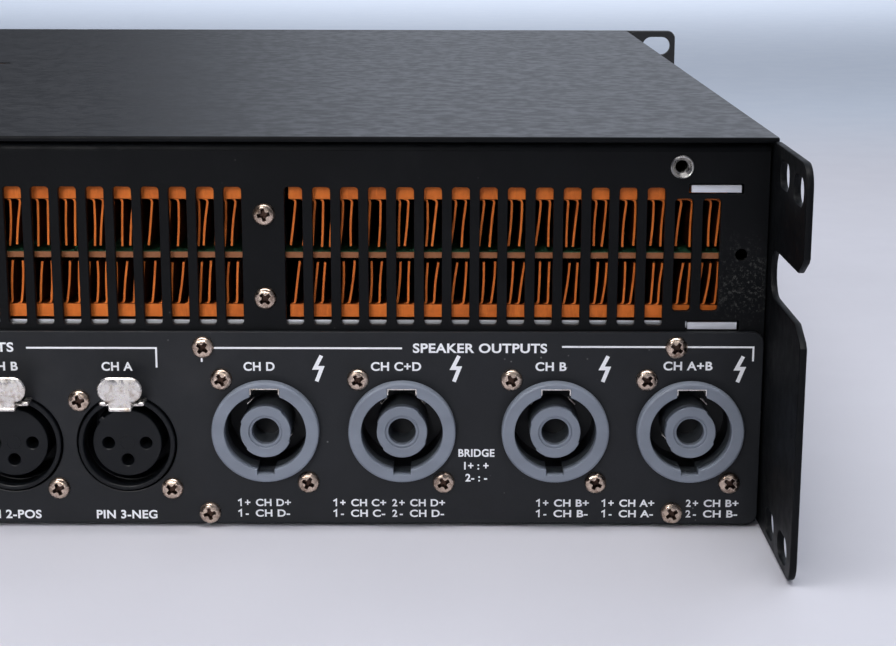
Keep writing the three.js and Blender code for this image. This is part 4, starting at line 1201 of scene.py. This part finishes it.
def fascia_lettering():
    c = FASCIA["face"] + 0.02
    marks = Shape()
    for number, x in enumerate(KNOBS, 1):
        marks.add(lettering(str(number), 3.2, x, 46, c))
        for text, dx in zip(("SIG", "-5", "CLIP"), LAMPS["shifts"]):
            marks.add(lettering(text, 1.3, x + dx, LAMPS["z"] - 4.5, c))
        for step in range(11):
            turn = math.radians(240 - 30 * step)
            ends = [(x + q * math.cos(turn), KNOB_Z + q * math.sin(turn)) for q in (9.2, 10.8)]
            marks.add(stroke(ends, 0.35, c - 0.01))
        for text, dx in (("0", -7.2), ("10", 7.2)):
            marks.add(lettering(text, 1.4, x + dx, KNOB_Z - 11.0, c))
    marks.add(lettering("POWER", 2.0, ROCKER["x"], 58.5, c))
    marks.add(lettering("LEVEL", 2.0, -12, 11.5, c))
    piece("fascia_lettering", marks.placed(FRONT), [INK])


def knob_shape():
    """A fluted knob with a raised pointer; finish 1 is the pointer's ink."""
    count = 96
    back, face = FASCIA["face"] + GAP, FASCIA["face"] + GAP + 12
    profile = ((7.2, back, 0.0), (7.45, back + 0.3, 0.0), (7.45, back + 1.6, 0.0), (6.95, back + 1.9, 0.4),
               (6.6, face - 1.2, 0.4), (6.2, face - 0.3, 0.2), (5.9, face, 0.0), (5.2, face - 0.25, 0.0))
    shape = Shape()
    rings = []
    for radius, c, flute in profile:
        points = []
        for i in range(count):
            turn = 2 * math.pi * i / count
            reach = radius - flute * (0.5 - 0.5 * math.cos(24 * turn))
            points.append((reach * math.cos(turn), reach * math.sin(turn), c))
        rings.append(shape.ring(points))
    for lower, upper in zip(rings, rings[1:]):
        shape.bridge(lower, upper)
    shape.cap([rings[0]], False)
    shape.cap([rings[-1]], True)
    shape.add(turned([(0, back - 8), (3, back - 8), (3, back + 0.2), (0, back + 0.2)], 24))
    shape.add(block(-0.45, 0.45, 1.2, 5.5, face - 0.5, face + 0.0, 0.2, 0.08, 1))
    return shape


def front_controls():
    shape = knob_shape()
    for number, x in enumerate(KNOBS, 1):
        stand_in(f"level_knob_{number}", shape.moved(x, KNOB_Z).placed(FRONT), [KNOB, INK],
                 f"knob_{number}")
    rocker()


def rocker():
    """A dished rocker tilted about its pivot, with a plain bar and ring on its two ends."""
    face = [(9.4, -1.5), (9.4, 0.5)]
    face += [(9.1, 1.9), (7.9, 5.2), (7.2, 5.9)]
    face += [(7.2 * (1 - i / 6) + (-7.2) * i / 6, 4.35 + 1.5 * (2 * i / 6 - 1) ** 2) for i in range(1, 6)]
    face += [(-7.2, 5.9), (-7.9, 5.2), (-9.1, 1.9), (-9.4, 0.5), (-9.4, -1.5)]
    body = plate(face, [], -ROCKER["half"], ROCKER["half"], 0.35)
    upright = Matrix(((0, 0, 1, 0), (1, 0, 0, 0), (0, 1, 0, 0), (0, 0, 0, 1)))
    shape = body.placed(upright)
    bar = block(-0.4, 0.4, 3.6, 6.4, 5.2, 5.55, 0.1, 0.05, 1)
    ring = plate(circle(1.4, 0, -5.2, 32), [circle(0.75, 0, -5.2, 32)], 5.2, 5.45, 0.05, 1)
    shape.add(bar)
    shape.add(ring)
    tilt = Matrix.Rotation(math.radians(ROCKER["tilt"]), 4, "X")
    pivot = Matrix.Translation((ROCKER["x"], ROCKER["z"], FASCIA["face"] - 2))
    stand_in("power_rocker", shape.placed(pivot @ tilt).placed(FRONT), [KNOB, INK], "rocker")


def case_screws():
    head = screw_head(radius=2.6, rise=0.35, brim=0.2, recess=0.6)
    spots = [(y, z) for y in (-150, -75, 0, 75, 150) for z in (8, 79)]
    turn_out = Matrix.Scale(-1, 4, Vector((0, 0, 1)))
    rng = random.Random("case")
    right = Shape()
    for y, z in spots:
        right.add(head.moved(y, z, HALF_BODY - 0.05, rng.uniform(0, 1.5)))
    left = right.mirrored(turn_out)
    piece("side_screws", together(right, left).placed(SIDE), [BLACK_SCREW, RECESS_PAINTED_SHADE])
    screws("cover_screws", COVER_SCREWS["spots"], TOP, HEIGHT - COVER_SCREWS["sunk"], BLACK_SCREW, head)
    ends = both_sides([(72, 4), (202, 84), (137, 84), (202, 4), (137, 4), (72, 84)])
    screws("front_screws", ends, FRONT, PANEL_FRONT, BLACK_SCREW, head)


def cad_finishes():
    """Finishes for the CAD nodes that stay as they are."""
    for finish, nodes in (
        (CASE, ("bottom_plate",)),
        (ALUMINIUM, ("tunnel_plate_top", "tunnel_plate_bottom")),
        (GREEN_BOARD, ("amp_board_left", "amp_board_right", "psu_board")),
        (WINDING, ("transformer",)),
        (SLEEVE, ("capacitor_bank",)),
        (FAN, ("fan_frame_left", "fan_frame_right", "fan_rotor_left", "fan_rotor_right")),
    ):
        for node in nodes:
            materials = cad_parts[node].data.materials
            materials.clear()
            materials.append(finish)


# ---- stage -------------------------------------------------------------------------------------

# Metres, millimetres for the lens, and degrees: the turn is from looking along +Y, and the dip is down.
CAMERA = {"place": (-0.15004, 0.56548, 0.13672), "lens": 73.42,
          "turn": 180 - 0.075, "dip": 12.879, "roll": 0.14}


def add_camera():
    data = bpy.data.cameras.new("camera")
    data.lens = CAMERA["lens"]
    data.sensor_width = 36
    camera = bpy.data.objects.new("camera", data)
    turn = Matrix.Rotation(math.radians(CAMERA["turn"]), 4, "Z")
    tilt = Matrix.Rotation(math.radians(90 - CAMERA["dip"]), 4, "X")
    roll = Matrix.Rotation(math.radians(CAMERA["roll"]), 4, "Z")
    camera.matrix_world = Matrix.Translation(CAMERA["place"]) @ turn @ tilt @ roll
    bpy.context.scene.collection.objects.link(camera)
    bpy.context.scene.camera = camera


def add_area(name, place, target, size, watts, colour, spread=180.0):
    data = bpy.data.lights.new(name, "AREA")
    data.spread = math.radians(spread)
    data.shape = "RECTANGLE"
    data.size, data.size_y = size
    data.energy = watts
    data.color = colour
    lamp = bpy.data.objects.new(name, data)
    lamp.location = place
    aim = Vector(target) - Vector(place)
    lamp.rotation_euler = aim.to_track_quat("-Z", "Y").to_euler()
    lamp.visible_camera = False
    bpy.context.scene.collection.objects.link(lamp)


def add_world():
    """A pale room: bright low down beyond the front, darker towards +X and behind the camera."""
    world = bpy.data.worlds.new("room")
    world.use_nodes = True
    tree = world.node_tree
    coordinates = tree.nodes.new("ShaderNodeTexCoord")
    split = tree.nodes.new("ShaderNodeSeparateXYZ")
    tree.links.new(coordinates.outputs["Generated"], split.inputs["Vector"])

    def fade(axis, start, end, before, after):
        mapper = tree.nodes.new("ShaderNodeMapRange")
        mapper.interpolation_type = "SMOOTHSTEP"
        for key, value in (("From Min", start), ("From Max", end), ("To Min", before), ("To Max", after)):
            mapper.inputs[key].default_value = value
        tree.links.new(split.outputs[axis], mapper.inputs["Value"])
        return mapper.outputs["Result"]

    def combined(operation, first, second):
        made = tree.nodes.new("ShaderNodeMath")
        made.operation = operation
        tree.links.new(first, made.inputs[0])
        tree.links.new(second, made.inputs[1])
        return made.outputs["Value"]

    side = combined("MAXIMUM", fade("X", 0.02, 0.20, 1.0, 0.03), fade("Z", 0.3, 0.8, 0.0, 0.8))
    height = combined("MULTIPLY", side, fade("Z", 0.05, 0.11, 1.9, 1.0))
    depth = fade("Y", -0.4, 0.5, 0.78, 0.20)
    background = tree.nodes["Background"]
    background.inputs["Color"].default_value = (0.79, 0.86, 1.0, 1)
    tree.links.new(combined("MULTIPLY", height, depth), background.inputs["Strength"])
    bpy.context.scene.world = world


def add_floor():
    half = 6.0
    corners = [(-half, -half, 0), (half, -half, 0), (half, half, 0), (-half, half, 0)]
    mesh = bpy.data.meshes.new("floor")
    mesh.from_pydata(corners, [], [(0, 1, 2, 3)])
    floor = bpy.data.objects.new("floor", mesh)
    floor.location.z = -0.0004
    bpy.context.scene.collection.objects.link(floor)
    finish = Finish("floor_paper", (0.60, 0.60, 0.66), 0.6)
    far = finish.remap(finish.axis("Y"), -0.75, -0.35, 1, 0)
    near = finish.blend(finish.noise(3, 3), (0.58, 0.58, 0.64), (0.62, 0.62, 0.68))
    finish.paint(finish.blend(far, near, (0.62, 0.68, 0.78)))
    finish.roughen(finish.noise(40, 3), 0.55, 0.7)
    finish.emboss((finish.noise(60, 3), 0.05))
    mesh.materials.append(finish.material)


add_camera()
add_world()
add_floor()
add_area("overhead", (-0.02, 0.34, 1.10), (-0.02, 0.30, 0.0), (1.0, 0.5), 10.4, (1.0, 0.985, 0.98))
add_area("rear_fill", (0.10, 1.05, 0.42), (-0.03, 0.17, 0.03), (0.3, 0.3), 0.23, (1.0, 0.99, 0.98), 40.0)
for side in (-1, 1):
    add_area(f"corner_fill_{side}", (1.35 * side, -1.25, 0.70), (0.15 * side, -0.20, 0.04),
             (0.5, 0.5), 0.45, (0.98, 0.99, 1.0), 45.0)
add_area("far_wash", (-0.10, -2.50, 1.60), (-0.10, -2.50, 0.0), (2.4, 1.6), 12.5, (0.97, 0.98, 1.0), 80.0)
bpy.context.scene.view_settings.view_transform = "Standard"

side_plates()
top_cover()
rear_vent_panel()
rivet_nuts()
connector_plate()
speaker_sockets()
input_sockets()
mains_inlet()
dip_switches()
heatsinks()
connector_lettering()
rear_screws()
front_panel()
front_intakes()
handles()
control_fascia()
fascia_lettering()
front_controls()
case_screws()
cad_finishes()
